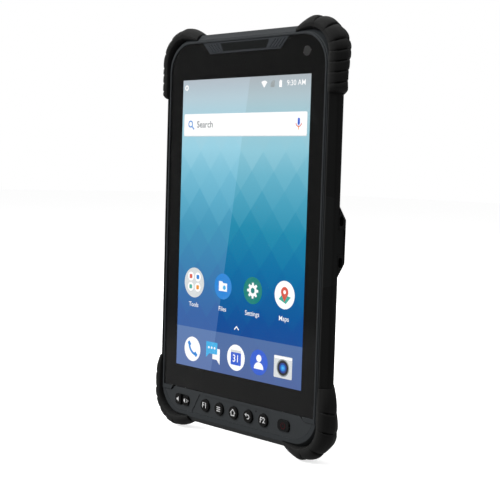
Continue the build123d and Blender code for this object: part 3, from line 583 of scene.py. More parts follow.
CARRIED: dict[str, Finish] = {
    "rear_housing": HOUSING_PLASTIC,
    "battery_cover": COVER_PLASTIC,
    "battery_latch_left": LATCH_PLASTIC,
    "battery_latch_right": LATCH_PLASTIC,
    "key_panel": PANEL_PLASTIC,
    "badge": BADGE_PLASTIC,
    "badge_plate": PLATE_PLASTIC,
    "port_door": DOOR_RUBBER,
    "strap_lug_left": LUG_PLASTIC,
    "strap_lug_right": LUG_PLASTIC,
    "side_grip_left_lower": GRIP_RUBBER,
    "side_grip_left_upper": GRIP_RUBBER,
    "side_grip_right_lower": GRIP_RUBBER,
    "side_grip_right_upper": GRIP_RUBBER,
    "camera_glass": CAMERA_GLASS,
    "front_camera_window": FRONT_WINDOW,
    "flash_glass": FLASH_GLASS,
    "flash_lamp": LAMP_PLASTIC,
    "rear_camera": MODULE_PLASTIC,
    "front_camera": MODULE_PLASTIC,
    "speaker": MODULE_PLASTIC,
    "microphone": CAN_METAL,
    "vibration_motor": CAN_METAL,
    "speaker_mesh": SPEAKER_MESH,
    "dock_block": MODULE_PLASTIC,
    "dock_contacts": CONTACT_GOLD,
    "battery_contacts": CONTACT_GOLD,
    "battery_pack": PACK_WRAP,
    "display_panel": MODULE_PLASTIC,
    "backlight": BACKLIGHT_WHITE,
    "glass_adhesive": FOAM,
    "housing_seal": SEAL_RUBBER,
    "key_seal": SEAL_RUBBER,
    "key_board": BOARD_GREEN,
    "main_board": BOARD_GREEN,
    "port_board": BOARD_GREEN,
    "key_domes": DOME_STEEL,
    "shield_cans": CAN_METAL,
    "mid_chassis": CHASSIS_ALLOY,
    "housing_screws": SCREW_STEEL,
    "board_screws": SCREW_STEEL,
    "usb_socket": SOCKET_STEEL,
    "card_reader": SOCKET_STEEL,
    "gnss_antenna": CERAMIC,
}


# ---- mesh building, in millimetres ----


class Station(NamedTuple):
    """A place on an outline seen from the front, and the way out from it."""

    x: float
    z: float
    out_x: float
    out_z: float

    def at(self, offset: float, y: float) -> Vector:
        """The point that lies that far out from the outline, at depth y."""
        return Vector((self.x + self.out_x * offset, y, self.z + self.out_z * offset))


@dataclass(frozen=True)
class Outline:
    """Rounded rectangle seen from the front; breaks are extra places along its top and bottom."""

    half_width: float
    low: float
    high: float
    radius: float
    steps: int = 12
    breaks: tuple[float, ...] = ()

    def stations(self) -> list[Station]:
        """Places all round, anticlockwise from the right-hand side's top."""
        reach = self.half_width - self.radius
        top, bottom = self.high - self.radius, self.low + self.radius
        found: list[Station] = []
        for index, (x, z) in enumerate(((reach, top), (-reach, top), (-reach, bottom), (reach, bottom))):
            for step in range(self.steps + 1):
                angle = math.radians(90 * (index + step / self.steps))
                out = (math.cos(angle), math.sin(angle))
                found.append(Station(x + out[0] * self.radius, z + out[1] * self.radius, *out))
            if index == 0:
                found += [Station(place, self.high, 0.0, 1.0) for place in sorted(self.breaks, reverse=True)]
            if index == 2:
                found += [Station(place, self.low, 0.0, -1.0) for place in sorted(self.breaks)]
        return found

    def grown(self, margin: float) -> Outline:
        """The same outline, larger by a margin all round."""
        return Outline(self.half_width + margin, self.low - margin, self.high + margin,
                       max(self.radius + margin, 0.05), self.steps, self.breaks)


def soften(corners: Sequence[Point], radii: Sequence[float], steps: int = 4) -> list[Point]:
    """Rounds the inner corners of a polyline.

    Args:
        corners: The polyline's points.
        radii: A radius for each inner corner, 0 where it stays sharp.
        steps: Pieces in each bend.

    Returns:
        The points of the rounded line.
    """
    line = [corners[0]]
    for before, corner, after, radius in zip(corners, corners[1:], corners[2:], radii):
        here = Vector(corner)
        back, ahead = (Vector(before) - here), (Vector(after) - here)
        turn = math.pi - back.angle(ahead)
        reach = min(radius * math.tan(turn / 2), back.length * 0.48, ahead.length * 0.48)
        if radius <= 0 or turn < 1e-3:
            line.append(tuple(here))
            continue
        start, end = here + back.normalized() * reach, here + ahead.normalized() * reach
        for step in range(steps + 1):
            t = step / steps
            line.append(tuple(start * (1 - t) ** 2 + here * (2 * t * (1 - t)) + end * t**2))
    return line + [corners[-1]]


def clip(line: Sequence[Point], depth: float) -> list[Point]:
    """The part of a profile in front of a depth, ending exactly on it.

    Args:
        line: (offset, y) points that run towards the back.
        depth: The y at which it is cut.

    Returns:
        The kept points.
    """
    kept: list[Point] = []
    for first, second in zip(line, line[1:]):
        kept.append(first)
        if second[1] > depth:
            share = (depth - first[1]) / (second[1] - first[1])
            kept.append((first[0] + (second[0] - first[0]) * share, depth))
            break
    return kept


def signed_area(loop: Loop) -> float:
    """Area within a loop, negative if it runs clockwise."""
    return sum(a[0] * b[1] - b[0] * a[1] for a, b in zip(loop, [*loop[1:], loop[0]])) / 2


def widened(loop: Loop, margin: float) -> Loop:
    """A loop moved out by a margin, to the right of its way round.

    Args:
        loop: The loop.
        margin: How far, negative to take it in.

    Returns:
        The moved loop, with as many points.
    """
    if not margin:
        return loop
    moved = []
    for before, here, after in zip([loop[-1], *loop[:-1]], loop, [*loop[1:], loop[0]]):
        first = (Vector(here) - Vector(before)).normalized()
        second = (Vector(after) - Vector(here)).normalized()
        middle = (first + second).normalized()
        reach = margin / max(middle.dot(first), 0.4)
        moved.append((here[0] + middle.y * reach, here[1] - middle.x * reach))
    return moved


class Solid:
    """A closed mesh under construction, in millimetres."""

    def __init__(self) -> None:
        """Starts an empty mesh."""
        self.mesh = bmesh.new()

    def loft(self, rings: Sequence[Sequence[Vector]], closed: bool = False) -> Solid:
        """Joins rings of equally many points.

        Args:
            rings: The rings, in order.
            closed: Whether the last ring joins the first; if not, the ends are capped.

        Returns:
            This solid.
        """
        made = [[self.mesh.verts.new(point) for point in ring] for ring in rings]
        pairs = list(zip(made, made[1:])) + ([(made[-1], made[0])] if closed else [])
        for first, second in pairs:
            for index in range(len(first)):
                after = (index + 1) % len(first)
                self.mesh.faces.new((first[index], first[after], second[after], second[index]))
        if not closed:
            self.mesh.faces.new(made[0])
            self.mesh.faces.new(made[-1])
        return self

    def plate(self, loops: Sequence[Loop], front: float, back: float, bevel: float = 0.0) -> Solid:
        """Adds a flat plate whose later loops are holes.

        Args:
            loops: Outlines in (x, z); those after the first are holes in it.
            front: y of its front face.
            back: y of its back face.
            bevel: Rounding of its front and back edges.

        Returns:
            This solid.
        """
        rounding = [(0.0, front), (0.0, back)]
        if bevel:
            rounding = [(0.0, front), *soften([(0.0, front), (bevel, front), (bevel, front + bevel),
                                               (bevel, front + 2 * bevel)], (bevel, 0.0), 3)[1:-2],
                        (bevel, front + bevel), (bevel, back - bevel), (0.0, back)]
        ends: tuple[list, list] = ([], [])
        for index, loop in enumerate(loops):
            if (signed_area(loop) > 0) == (index > 0):
                loop = loop[::-1]
            rings = [[self.mesh.verts.new((x, y, z)) for x, z in widened(loop, out - bevel)]
                     for out, y in rounding]
            for first, second in zip(rings, rings[1:]):
                for here in range(len(first)):
                    after = (here + 1) % len(first)
                    self.mesh.faces.new((first[here], first[after], second[after], second[here]))
            for end, ring in zip(ends, (rings[0], rings[-1])):
                end.append(ring)
        for end in ends:
            flat = [vert for ring in end for vert in ring]
            lines = [[Vector((vert.co.x, vert.co.z, 0.0)) for vert in ring] for ring in end]
            for corners in tessellate_polygon(lines):
                self.mesh.faces.new([flat[corner] for corner in corners])
        return self

    def text(self, words: str, x: float, z: float, height: float, front: float, back: float) -> Solid:
        """Adds centred lettering of a letter height, between two depths."""
        curve = bpy.data.curves.new("text", "FONT")
        curve.body = words
        curve.size = height / 0.7
        curve.align_x = "CENTER"
        curve.align_y = "CENTER"
        curve.extrude = (back - front) / 2
        curve.offset = height * 0.008
        curve.resolution_u = 3
        return self._absorb(curve, Vector((x, (front + back) / 2, z)), (back - front) / 50)

    def _absorb(self, curve: bpy.types.Curve, shift: Vector, weld: float) -> Solid:
        """Turns a curve's flat frame to face the front, and adds its mesh."""
        holder = bpy.data.objects.new("holder", curve)
        bpy.context.scene.collection.objects.link(holder)
        graph = bpy.context.evaluated_depsgraph_get()
        mesh = bpy.data.meshes.new_from_object(holder.evaluated_get(graph))
        mesh.transform(Matrix.Translation(shift) @ Euler((math.pi / 2, 0, 0)).to_matrix().to_4x4())
        own = bmesh.new()
        own.from_mesh(mesh)
        bmesh.ops.remove_doubles(own, verts=own.verts, dist=min(weld, 0.001))
        own.to_mesh(mesh)
        own.free()
        self.mesh.from_mesh(mesh)
        bpy.data.objects.remove(holder)
        bpy.data.curves.remove(curve)
        bpy.data.meshes.remove(mesh)
        return self

    def shaded(self, name: str, finish: Finish, crease: float = 35.0) -> bpy.types.Object:
        """Makes the object, in metres, smooth but for its creases.

        Args:
            name: The piece's name.
            finish: Its finish.
            crease: Angle in degrees above which an edge stays sharp.

        Returns:
            The object.
        """
        bmesh.ops.recalc_face_normals(self.mesh, faces=self.mesh.faces)
        bmesh.ops.scale(self.mesh, vec=(MM, MM, MM), verts=self.mesh.verts)
        data = bpy.data.meshes.new(name)
        self.mesh.to_mesh(data)
        self.mesh.free()
        data.shade_smooth()
        data.set_sharp_from_angle(angle=math.radians(crease))
        data.materials.append(finish.material())
        made = bpy.data.objects.new(name, data)
        bpy.context.scene.collection.objects.link(made)
        weighted = made.modifiers.new("flat_faces_stay_flat", "WEIGHTED_NORMAL")
        weighted.keep_sharp = True
        weighted.weight = 100
        return made


def settle(piece: bpy.types.Object, body: str = MAIN_BODY, stands_for: Sequence[str] = ()) -> None:
    """Ties a finished piece to the frame and reports it.

    Args:
        piece: The object.
        body: The CAD body that it rides on.
        stands_for: CAD nodes that it replaces.
    """
    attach(piece, body)
    if stands_for:
        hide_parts(*stands_for)
    LOG.info("%s rides on %s", piece.name, body)


# ---- flat artwork, in (x, z) millimetres ----


def circle(x: float, z: float, radius: float, steps: int = 40) -> Loop:
    """A round loop."""
    return arc(x, z, radius, 0, 360 - 360 / steps, steps - 1)


def arc(x: float, z: float, radius: float, start: float, end: float, steps: int = 16) -> Loop:
    """Points along an arc.

    Args:
        x: Its middle.
        z: Its middle.
        radius: Its radius.
        start: First angle in degrees, 0 to the right, 90 up.
        end: Last angle.
        steps: Pieces.

    Returns:
        The points.
    """
    angles = [math.radians(start + (end - start) * step / steps) for step in range(steps + 1)]
    return [(x + radius * math.cos(angle), z + radius * math.sin(angle)) for angle in angles]


def box(x: float, z: float, width: float, height: float, radius: float = 0.0) -> Loop:
    """A rectangle, rounded if it has a radius."""
    if radius <= 0:
        half, rise = width / 2, height / 2
        return [(x - half, z - rise), (x + half, z - rise), (x + half, z + rise), (x - half, z + rise)]
    rounded = Outline(width / 2, z - height / 2, z + height / 2, radius, 6)
    return [(x + s.x, s.z) for s in rounded.stations()]


def stroke(points: Sequence[Point], width: float) -> Loop:
    """The outline of a line of even width with square ends.

    Args:
        points: The line.
        width: Its width.

    Returns:
        The loop round it.
    """
    line = [Vector(point) for point in points]
    left, right = [], []
    for index, here in enumerate(line):
        before, after = line[max(index - 1, 0)], line[min(index + 1, len(line) - 1)]
        way_in = (here - before).normalized() if index else (after - here).normalized()
        way_out = (after - here).normalized() if index < len(line) - 1 else way_in
        middle = (way_in + way_out).normalized()
        reach = width / 2 / max(middle.dot(way_in), 0.5)
        side = Vector((-middle.y, middle.x)) * reach
        left.append(tuple(here + side))
        right.append(tuple(here - side))
    return left + right[::-1]


def band(x: float, z: float, radius: float, width: float, start: float, end: float) -> Loop:
    """A stroke along an arc."""
    return arc(x, z, radius + width / 2, start, end) + arc(x, z, radius - width / 2, end, start)


def turned(loop: Sequence[Point], x: float, z: float, degrees: float) -> Loop:
    """A loop about the origin, turned and then moved to a place."""
    cos, sin = math.cos(math.radians(degrees)), math.sin(math.radians(degrees))
    return [(x + u * cos - v * sin, z + u * sin + v * cos) for u, v in loop]


# ---- the tablet's measures, read from the frame ----


@dataclass(frozen=True)
class Extent:
    """A CAD node's box in millimetres."""

    low: Vector
    high: Vector

    @classmethod
    def of(cls, node: str) -> Extent:
        """The box of a named node."""
        low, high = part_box(node)
        return cls(Vector(low) / MM, Vector(high) / MM)

    @property
    def middle(self) -> Vector:
        """The box's middle."""
        return (self.low + self.high) / 2

    @property
    def size(self) -> Vector:
        """The box's size."""
        return self.high - self.low


HOUSING = Extent.of("rear_housing")
FRONT = Extent.of("front_frame")
GLASS = Extent.of("cover_glass")
PANEL = Extent.of("key_panel")
PICTURE = Extent.of("display_panel")


# ---- front frame ----


@dataclass
class FrontFrame:
    """Moulded frame: slope round the outside, well for glass and key panel, bead round the glass."""

    body_radius: float = 21.0
    glass_radius: float = 17.0
    clearance: float = 0.1
    skin_half: float = 41.0
    grip_inset: float = 1.2
    chamfer: float = 3.5
    lip: float = 0.7
    seam_bend: float = 2.0
    face_bend: float = 0.5
    bead_width: float = 1.4
    bead_height: float = 0.5
    foot_long: float = 7.6
    foot_tall: float = 2.6
    opening_half: float = 56.25
    seam_relief: float = 0.12

    def profiles(self) -> tuple[list[Point], list[Point]]:
        """(offset, y) lines of the bare skin and of the skin set back under the rubber."""
        face, seam = GLASS.low.y, FRONT.high.y
        lines = []
        for inset, run in ((0.0, self.chamfer), (self.grip_inset, self.chamfer - self.lip)):
            corners = [(-inset - run - 1.2, face), (-inset - run, face), (-inset, seam), (-inset, seam + 3)]
            kept = clip(soften(corners, (self.face_bend, self.seam_bend), 6), seam)
            end = kept.pop()
            lines.append(kept + [(end[0], seam - self.seam_relief), (end[0] - self.seam_relief, seam)])
        return lines[0], lines[1]

    def shell(self, solid: Solid) -> None:
        """Adds the ring-shaped body of the frame."""
        step = 0.01
        breaks = (self.skin_half + step, self.skin_half, -self.skin_half, -self.skin_half - step)
        face, seam = GLASS.low.y, FRONT.high.y
        ledge = GLASS.high.y + 0.2
        body = Outline(HOUSING.high.x, HOUSING.low.z, HOUSING.high.z, self.body_radius, 14, breaks).stations()
        well = Outline(GLASS.high.x, PANEL.low.z, GLASS.high.z, self.glass_radius, 14, breaks)
        well = well.grown(self.clearance).stations()
        hole = Outline(self.opening_half, PANEL.low.z + 2.6, PICTURE.high.z + 0.2, 2.0, 14, breaks).stations()
        rings = [[s.at(0, y) for s in hole] for y in (seam, ledge)]
        rings += [[s.at(out, y) for s in well] for out, y in
                  ((0, ledge), (0, face + 0.15), (0.05, face + 0.04), (0.15, face))]
        for bare, covered in zip(*self.profiles()):
            ring = []
            for s in body:
                offset, y = bare if abs(s.x) <= self.skin_half + step / 2 else covered
                ring.append(s.at(offset, y))
            rings.append(ring)
        solid.loft(rings, closed=True)

    def bead(self, solid: Solid) -> None:
        """Adds the raised bead along the glass and the feet that it ends in."""
        face = GLASS.low.y
        crest = face - self.bead_height
        path = [s for s in Outline(GLASS.high.x, PANEL.low.z, GLASS.high.z, self.glass_radius, 20).stations()
                if s.z >= PANEL.high.z or s.out_z > 0.001]
        right = sorted((s for s in path if s.x > 0), key=lambda s: (s.z, -s.x))
        left = sorted((s for s in path if s.x < 0), key=lambda s: (-s.z, -s.x))
        foot = GLASS.low.z - self.foot_tall
        start = Station(GLASS.high.x, foot, 1.0, 0.0)
        end = Station(-GLASS.high.x, foot, -1.0, 0.0)
        line = [start, *right, *left, end]
        wide, tall = self.bead_width, self.bead_height
        section = soften([(0.0, face + 0.3), (0.05, crest + 0.05), (wide * 0.55, crest - 0.0),
                          (wide - 0.12, crest + 0.16), (wide, face + 0.3)], (0.22, 0.6, 0.35), 4)
        solid.loft([[s.at(out, y) for out, y in section] for s in line])
        for side in (-1, 1):
            outer, inner = GLASS.high.x + wide / 2, GLASS.high.x + wide / 2 - self.foot_long
            top = GLASS.low.z - self.clearance
            corners = [(inner - 1.6, top), (inner - 1.6, top - 0.5), (inner, foot), (outer - 0.8, foot),
                       (outer, foot + 0.8), (outer, top)]
            solid.plate([[(side * x, z) for x, z in corners]], crest + 0.04, face + 0.3, 0.12)

    def build(self) -> None:
        """Builds and settles the frame."""
        solid = Solid()
        self.shell(solid)
        self.bead(solid)
        settle(solid.shaded("front_frame_moulding", FRAME_PLASTIC, 30), MAIN_BODY,
               ["front_frame"])


# ---- rubber corners ----


@dataclass
class Bumper:
    """Thick rubber corner made of overlapping scales, thinned to nothing at both ends."""

    node: str
    side: int
    upper: bool
    seams: tuple[float, ...]
    corner: float = 22.0
    skin_side: float = 3.7
    skin_end: float = 5.8
    ramp_end: float = 14.0
    ramp_side: float = 2.8
    low_end: float = 0.2
    low_side: float = 0.3
    scale_depth: float = 0.17
    groove_depth: float = 0.22
    lap_depth: float = 0.09
    groove_width: float = 0.36
    full_span: float = 14.0
    even_span: float = 12.0
    ramp_power: float = 1.7
    bulge: float = 2.3
    bulge_run: float = 0.85
    bulge_depth: float = 5.0
    bulge_reach: float = 5.4
    bulge_way: Point = (0.66, 0.74)
    skew: float = 3.0
    pitch: float = 0.3
    outer: tuple[Point, ...] = ((-7.4, -8.3), (-6.8, -9.9), (-4.8, -10.4), (-2.2, -9.4), (-0.4, -6.5),
                                (0.0, -3.5), (0.0, -0.9), (-3.6, 3.0), (-9.2, 9.0), (-12.0, 10.4),
                                (-16.0, 10.4), (-18.0, 8.9))
    skin: tuple[Point, ...] = ((-7.4, -8.2), (-7.1, -8.3), (-6.5, -8.3), (-5.4, -7.2), (-4.2, -5.6),
                               (-3.7, -3.5), (-3.7, -1.1), (-6.3, 1.8), (-12.3, 8.5), (-13.4, 8.9),
                               (-16.0, 8.9), (-18.0, 8.9))
    bends: tuple[float, ...] = (0.6, 2.5, 4.0, 5.0, 4.0, 3.0, 4.0, 4.0, 2.5, 1.0)

    def __post_init__(self) -> None:
        """Reads the bumper's reach from its CAD solid."""
        extent = Extent.of(self.node)
        self.reach = max(abs(extent.low.x), abs(extent.high.x))
        self.start = min(abs(extent.low.x), abs(extent.high.x))
        self.height = 2 * HOUSING.middle.z
        self.arm = extent.size.z
        self.flat = self.reach - self.corner - self.start
        self.curve = self.corner * math.pi / 2
        self.length = self.flat + self.curve + self.arm - self.corner
        if not self.upper:
            self.ramp_side *= 4

    def station(self, run: float) -> Station:
        """Where the outer line is after a run from the end over the short arm."""
        middle = (self.reach - self.corner, self.height - self.corner)
        if run < self.flat:
            x, z, out = self.start + run, self.height, (0.0, 1.0)
        elif run < self.flat + self.curve:
            angle = (run - self.flat) / self.corner
            out = (math.sin(angle), math.cos(angle))
            x, z = middle[0] + out[0] * self.corner, middle[1] + out[1] * self.corner
        else:
            x, z, out = self.reach, middle[1] - (run - self.flat - self.curve), (1.0, 0.0)
        if not self.upper:
            z, out = self.height - z, (out[0], -out[1])
        return Station(self.side * x, z, self.side * out[0], out[1])

    def fullness(self, run: float) -> float:
        """How much of its thickness the bumper has there, from its ends' ramps."""
        from_end = min(run / self.ramp_end, 1.0)
        from_side = min((self.length - run) / self.ramp_side, 1.0)
        soft = [1 - (1 - share) ** self.ramp_power for share in (from_end, from_side)]
        return min(self.low_end + (1 - self.low_end) * soft[0], self.low_side + (1 - self.low_side) * soft[1])

    def relief(self, run: float) -> float:
        """Share of the thickness taken away between scales."""
        edges = (-self.length, *self.seams, self.length * 2)
        for low, high in zip(edges, edges[1:]):
            if low <= run < high:
                near = min(run - low, high - run)
                span = min(high - low, self.full_span)
                hollow = max(0.0, 1 - 2 * near / span) ** 3
                groove = math.exp(-((near / self.groove_width) ** 2))
                inside = low > 0 and high < self.length
                lap = self.lap_depth * (high - run) / (high - low) if inside else 0.0
                return self.scale_depth * (span / self.even_span) * hollow + self.groove_depth * groove + lap
        return 0.0

    def section(self, run: float) -> list[Vector]:
        """The closed ring of points across the bumper at a run."""
        gap = self.skin_side
        turn = min(max((self.flat + self.curve - run) / self.curve, 0.0), 1.0)
        drop = (self.skin_end - gap) * turn
        station = self.station(run)
        full = self.fullness(run)
        ring = []
        outer = soften(self.outer, self.bends, 3)
        skin = soften([(out - drop, y) for out, y in self.skin], self.bends, 3)
        swell = self.bulge * math.sin(math.pi * min(run / (self.length * self.bulge_run), 1.0))
        for (out, y), (base, depth) in zip(outer, skin):
            fuller = swell * max(0.0, 1 - ((y - self.bulge_depth) / self.bulge_reach) ** 2)
            out = out + fuller * self.bulge_way[0]
            y = min(y + fuller * self.bulge_way[1], self.outer[-2][1])
            weight = min(max((y + 10.4) / 3.0, 0.0), 1.0) * min(max((9.5 - y) / 5.0, 0.0), 1.0)
            bow = self.skew * math.sin(math.pi * min(max((y + 10) / 20, 0.0), 1.0) / 2)
            share = full * (1 - self.relief(run + bow) * (0.25 + 0.75 * weight))
            ring.append(station.at(base + (out - base) * share, depth + (y - depth) * share))
        inner = ((-17.5, 6.0), (-9.0, 1.0), (-8.2, -4.0))
        return ring + [station.at(out - drop * 0.5, y) for out, y in inner]

    def build(self) -> None:
        """Builds and settles the bumper."""
        count = round(self.length / self.pitch)
        rings = [self.section(self.length * step / count) for step in range(count + 1)]
        piece = Solid().loft(rings).shaded(self.node + "_rubber", BUMPER_RUBBER, 50)
        settle(piece, MAIN_BODY, [self.node])


# ---- glass, border, lit picture ----


@dataclass
class Window:
    """Cover glass with its printed border, seen over the lit picture."""

    pane_back: float = 0.6
    radius: float = 17.0
    border_side: float = 10.65
    border_top: float = 21.35
    border_bottom: float = 13.85
    ink: float = 0.63
    picture: float = 0.675
    shine: float = 0.014
    # depth and height of the dark strip of painted shade in the gap under the glass's bottom edge
    gap_strip: Point = (0.2, 0.3)
    fade: tuple[tuple[float, Colour], ...] = (
        (0.0, (6, 66, 146)), (0.18, (14, 84, 155)), (0.355, (30, 115, 167)),
        (0.413, (36, 127, 171)), (0.5, (46, 143, 177)), (0.587, (80, 165, 193)),
        (0.674, (112, 184, 206)), (0.761, (148, 204, 220)), (0.87, (166, 205, 216)),
        (0.935, (179, 200, 208)), (1.0, (176, 184, 190)),
    )

    def glass_loop(self, margin: float = 0.0) -> Loop:
        """The glass's outline with its notch for the name plate.

        Args:
            margin: How far it is taken in all round.

        Returns:
            The loop.
        """
        badge = Extent.of("badge")
        half, top, bottom = GLASS.high.x - margin, GLASS.high.z - margin, GLASS.low.z + margin
        radius = self.radius - margin
        right = arc(half - radius, top - radius, radius, 0, 90, 20)
        left = arc(radius - half, top - radius, radius, 90, 180, 20)
        wide, narrow = badge.high.x + 0.1 + margin, badge.high.x - 6.7 + 0.1 + margin
        notch = [(wide, top), (narrow, badge.low.z - 0.1 - margin), (-narrow, badge.low.z - 0.1 - margin),
                 (-wide, top)]
        return [(half, bottom), *right, *notch, *left, (-half, bottom)]

    def view_middle(self) -> Point:
        """The middle of the visible picture."""
        low, high = GLASS.low.z + self.border_bottom, GLASS.high.z - self.border_top
        return 0.0, (low + high) / 2

    def view_size(self) -> Point:
        """The width and height of the visible picture."""
        width = 2 * (GLASS.high.x - self.border_side)
        return width, GLASS.size.z - self.border_bottom - self.border_top

    def build(self) -> None:
        """Builds and settles the pane, its border, a dark strip of painted shade under its bottom edge, and
        the picture.
        """
        front = GLASS.low.y
        camera = Extent.of("front_camera_window")
        hole = circle(camera.middle.x, camera.middle.z, camera.size.x / 2 + 0.05, 40)
        pane = Solid().plate([self.glass_loop(), hole], front, front + self.pane_back, 0.08)
        settle(pane.shaded("cover_pane", PANE, 12), MAIN_BODY, ["cover_glass"])
        x, z = self.view_middle()
        width, height = self.view_size()
        opening = box(x, z, width, height)
        ink = Solid().plate([self.glass_loop(0.15), hole, opening], front + self.ink, front + self.ink + 0.01)
        # dark strip in the gap under the glass's bottom edge: painted shade for that gap, so no light shows
        # through the edge
        depth, rise = self.gap_strip
        gap = box(0.0, GLASS.low.z - 0.1, 2 * GLASS.high.x - 0.4, rise)
        ink.plate([gap], front + depth, front + self.ink - 0.005)
        settle(ink.shaded("border_print", BORDER_INK))
        stops = tuple((place, tuple(max(part - self.shine, 0.0) for part in screen_colour(*colour)))
                      for place, colour in self.fade)
        # the last colour is the painted glare added over the picture's left part
        paper = Wallpaper("wallpaper_lit", (x, z), height, stops, (0.042, 0.058, 0.078))
        sheet = Solid().plate([box(x, z, width + 1, height + 1)], front + self.picture, front + 0.69)
        settle(sheet.shaded("lit_picture", paper))


class Ink(Enum):
    """Colours of the marks in the lit picture."""

    WHITE = screen_colour(255, 255, 255)
    SNOW = screen_colour(252, 252, 252)
    SILVER = screen_colour(214, 218, 219)
    GREY = screen_colour(150, 158, 160)
    SLATE = screen_colour(92, 98, 104)
    SKY = screen_colour(64, 176, 232)
    AZURE = screen_colour(32, 132, 214)
    BLUE = screen_colour(46, 92, 206)
    NAVY = screen_colour(30, 60, 150)
    TEAL = screen_colour(0, 126, 118)
    MINT = screen_colour(52, 168, 150)
    AMBER = screen_colour(238, 150, 40)
    CORAL = screen_colour(214, 84, 66)
    BLACK = screen_colour(26, 28, 32)


@dataclass
class HomeScreen:
    """The marks of a generic home screen, laid over the wallpaper in thin layers."""

    window: Window
    step: float = 0.006
    marks: dict[Ink, list[tuple[int, list[Loop]]]] = field(default_factory=dict)
    words: dict[Ink, list[tuple[str, float, float, float]]] = field(default_factory=dict)
    app_row: float = -35.0
    dock_row: float = -75.3
    label_row: float = -48.3

    def mark(self, ink: Ink, layer: int, *loops: Loop) -> None:
        """Notes a filled shape, in millimetres from the picture's middle."""
        self.marks.setdefault(ink, []).append((layer, list(loops)))

    def word(self, ink: Ink, words: str, x: float, z: float, height: float) -> None:
        """Notes a word, centred at a place."""
        self.words.setdefault(ink, []).append((words, x, z, height))

    def status_bar(self) -> None:
        """Clock, battery and signal marks along the top."""
        z = 81.6
        self.mark(Ink.SNOW, 1, circle(-50.6, z, 1.7, 24), circle(-50.6, z, 0.75, 16))
        self.mark(Ink.SNOW, 1, [(17.2, z - 2.0), *arc(17.2, z - 2.0, 4.0, 52, 128, 8)])
        self.mark(Ink.GREY, 1, [(22.4, z - 1.8), (25.6, z - 1.8), (25.6, z + 1.8), (24.0, z + 1.8),
                                (22.4, z + 0.3)])
        self.mark(Ink.SNOW, 1, box(30.3, z - 0.2, 2.2, 3.6, 0.3), box(30.3, z + 1.8, 1.0, 0.4))
        self.word(Ink.SNOW, "9:30 AM", 42.6, z, 3.0)

    def search_bar(self) -> None:
        """White search field with its mark and microphone."""
        z = 59.5
        self.mark(Ink.SILVER, 1, box(-0.2, z - 0.25, 104.2, 13.3, 0.9))
        self.mark(Ink.WHITE, 2, box(-0.2, z, 103.6, 12.9, 0.8))
        self.mark(Ink.AZURE, 3, circle(-46.2, z + 0.5, 2.1, 28), circle(-46.2, z + 0.5, 1.4, 24))
        self.mark(Ink.AZURE, 3, stroke([(-44.7, z - 1.0), (-43.0, z - 2.7)], 0.8))
        self.word(Ink.SLATE, "Search", -33.0, z, 3.8)
        self.mark(Ink.BLUE, 3, box(45.4, z + 1.1, 1.7, 4.0, 0.8))
        self.mark(Ink.CORAL, 3, band(45.4, z + 0.6, 2.2, 0.55, 190, 350))
        self.mark(Ink.AMBER, 3, box(45.4, z - 2.5, 0.6, 1.6))

    def tools_folder(self, x: float) -> None:
        """Round folder that holds small tool marks."""
        z = self.app_row
        self.mark(Ink.SILVER, 1, circle(x, z, 9.0, 48))
        spots = [(Ink.CORAL, -3.2, 3.6), (Ink.AZURE, 3.2, 3.6), (Ink.MINT, -3.2, -2.6),
                 (Ink.AMBER, 3.2, -2.6)]
        for ink, across, up in spots:
            self.mark(Ink.WHITE, 2, circle(x + across, z + up, 2.7, 24))
            self.mark(ink, 3, box(x + across, z + up, 2.5, 2.5, 0.6))
        self.word(Ink.SNOW, "Tools", x, self.label_row, 2.7)

    def files(self, x: float) -> None:
        """Blue disc with a folder."""
        z = self.app_row
        self.mark(Ink.AZURE, 1, circle(x, z, 7.6, 48))
        self.mark(Ink.SNOW, 2, [(x - 3.6, z - 2.8), (x + 3.6, z - 2.8), (x + 3.6, z + 2.0),
                                (x + 0.2, z + 2.0),
                                (x - 0.8, z + 3.0), (x - 3.6, z + 3.0)])
        self.mark(Ink.SKY, 3, circle(x + 1.2, z - 0.6, 1.3, 20))
        self.word(Ink.SNOW, "Files", x, self.label_row, 2.7)

    def settings(self, x: float) -> None:
        """Teal disc with a toothed wheel."""
        z = self.app_row
        self.mark(Ink.TEAL, 1, circle(x, z, 7.8, 48))
        teeth = []
        for tooth in range(8):
            for radius, spread in ((3.3, -15), (4.6, -9), (4.6, 9), (3.3, 15)):
                angle = math.radians(45 * tooth + spread)
                teeth.append((x + radius * math.cos(angle), z + radius * math.sin(angle)))
        self.mark(Ink.SNOW, 2, teeth, circle(x, z, 1.6, 24))
        self.word(Ink.SNOW, "Settings", x, self.label_row, 2.7)

    def maps(self, x: float) -> None:
        """White disc with a place pin."""
        z = self.app_row
        self.mark(Ink.WHITE, 1, circle(x, z, 7.9, 48))
        self.mark(Ink.MINT, 2, [(x - 4.6, z - 2.6), (x + 1.2, z - 4.8), (x + 4.9, z - 1.0),
                                (x - 1.4, z + 0.6)])
        self.mark(Ink.CORAL, 3, [*arc(x, z + 1.6, 2.9, -28, 208, 20), (x, z - 3.9)])
        self.mark(Ink.WHITE, 4, circle(x, z + 1.6, 1.1, 20))
        self.word(Ink.SNOW, "Maps", x, self.label_row, 2.7)

    def phone(self, x: float) -> None:
        """White disc with a handset."""
        z = self.dock_row
        self.mark(Ink.WHITE, 1, circle(x, z, 7.4, 48))
        self.mark(Ink.AZURE, 2, band(x + 3.4, z + 3.4, 6.4, 1.5, 180, 270))
        for along, across in ((-2.9, 3.1), (3.1, -2.9)):
            self.mark(Ink.AZURE, 2, turned(box(0, 0, 2.9, 2.2, 0.5), x + along, z + across, -45))

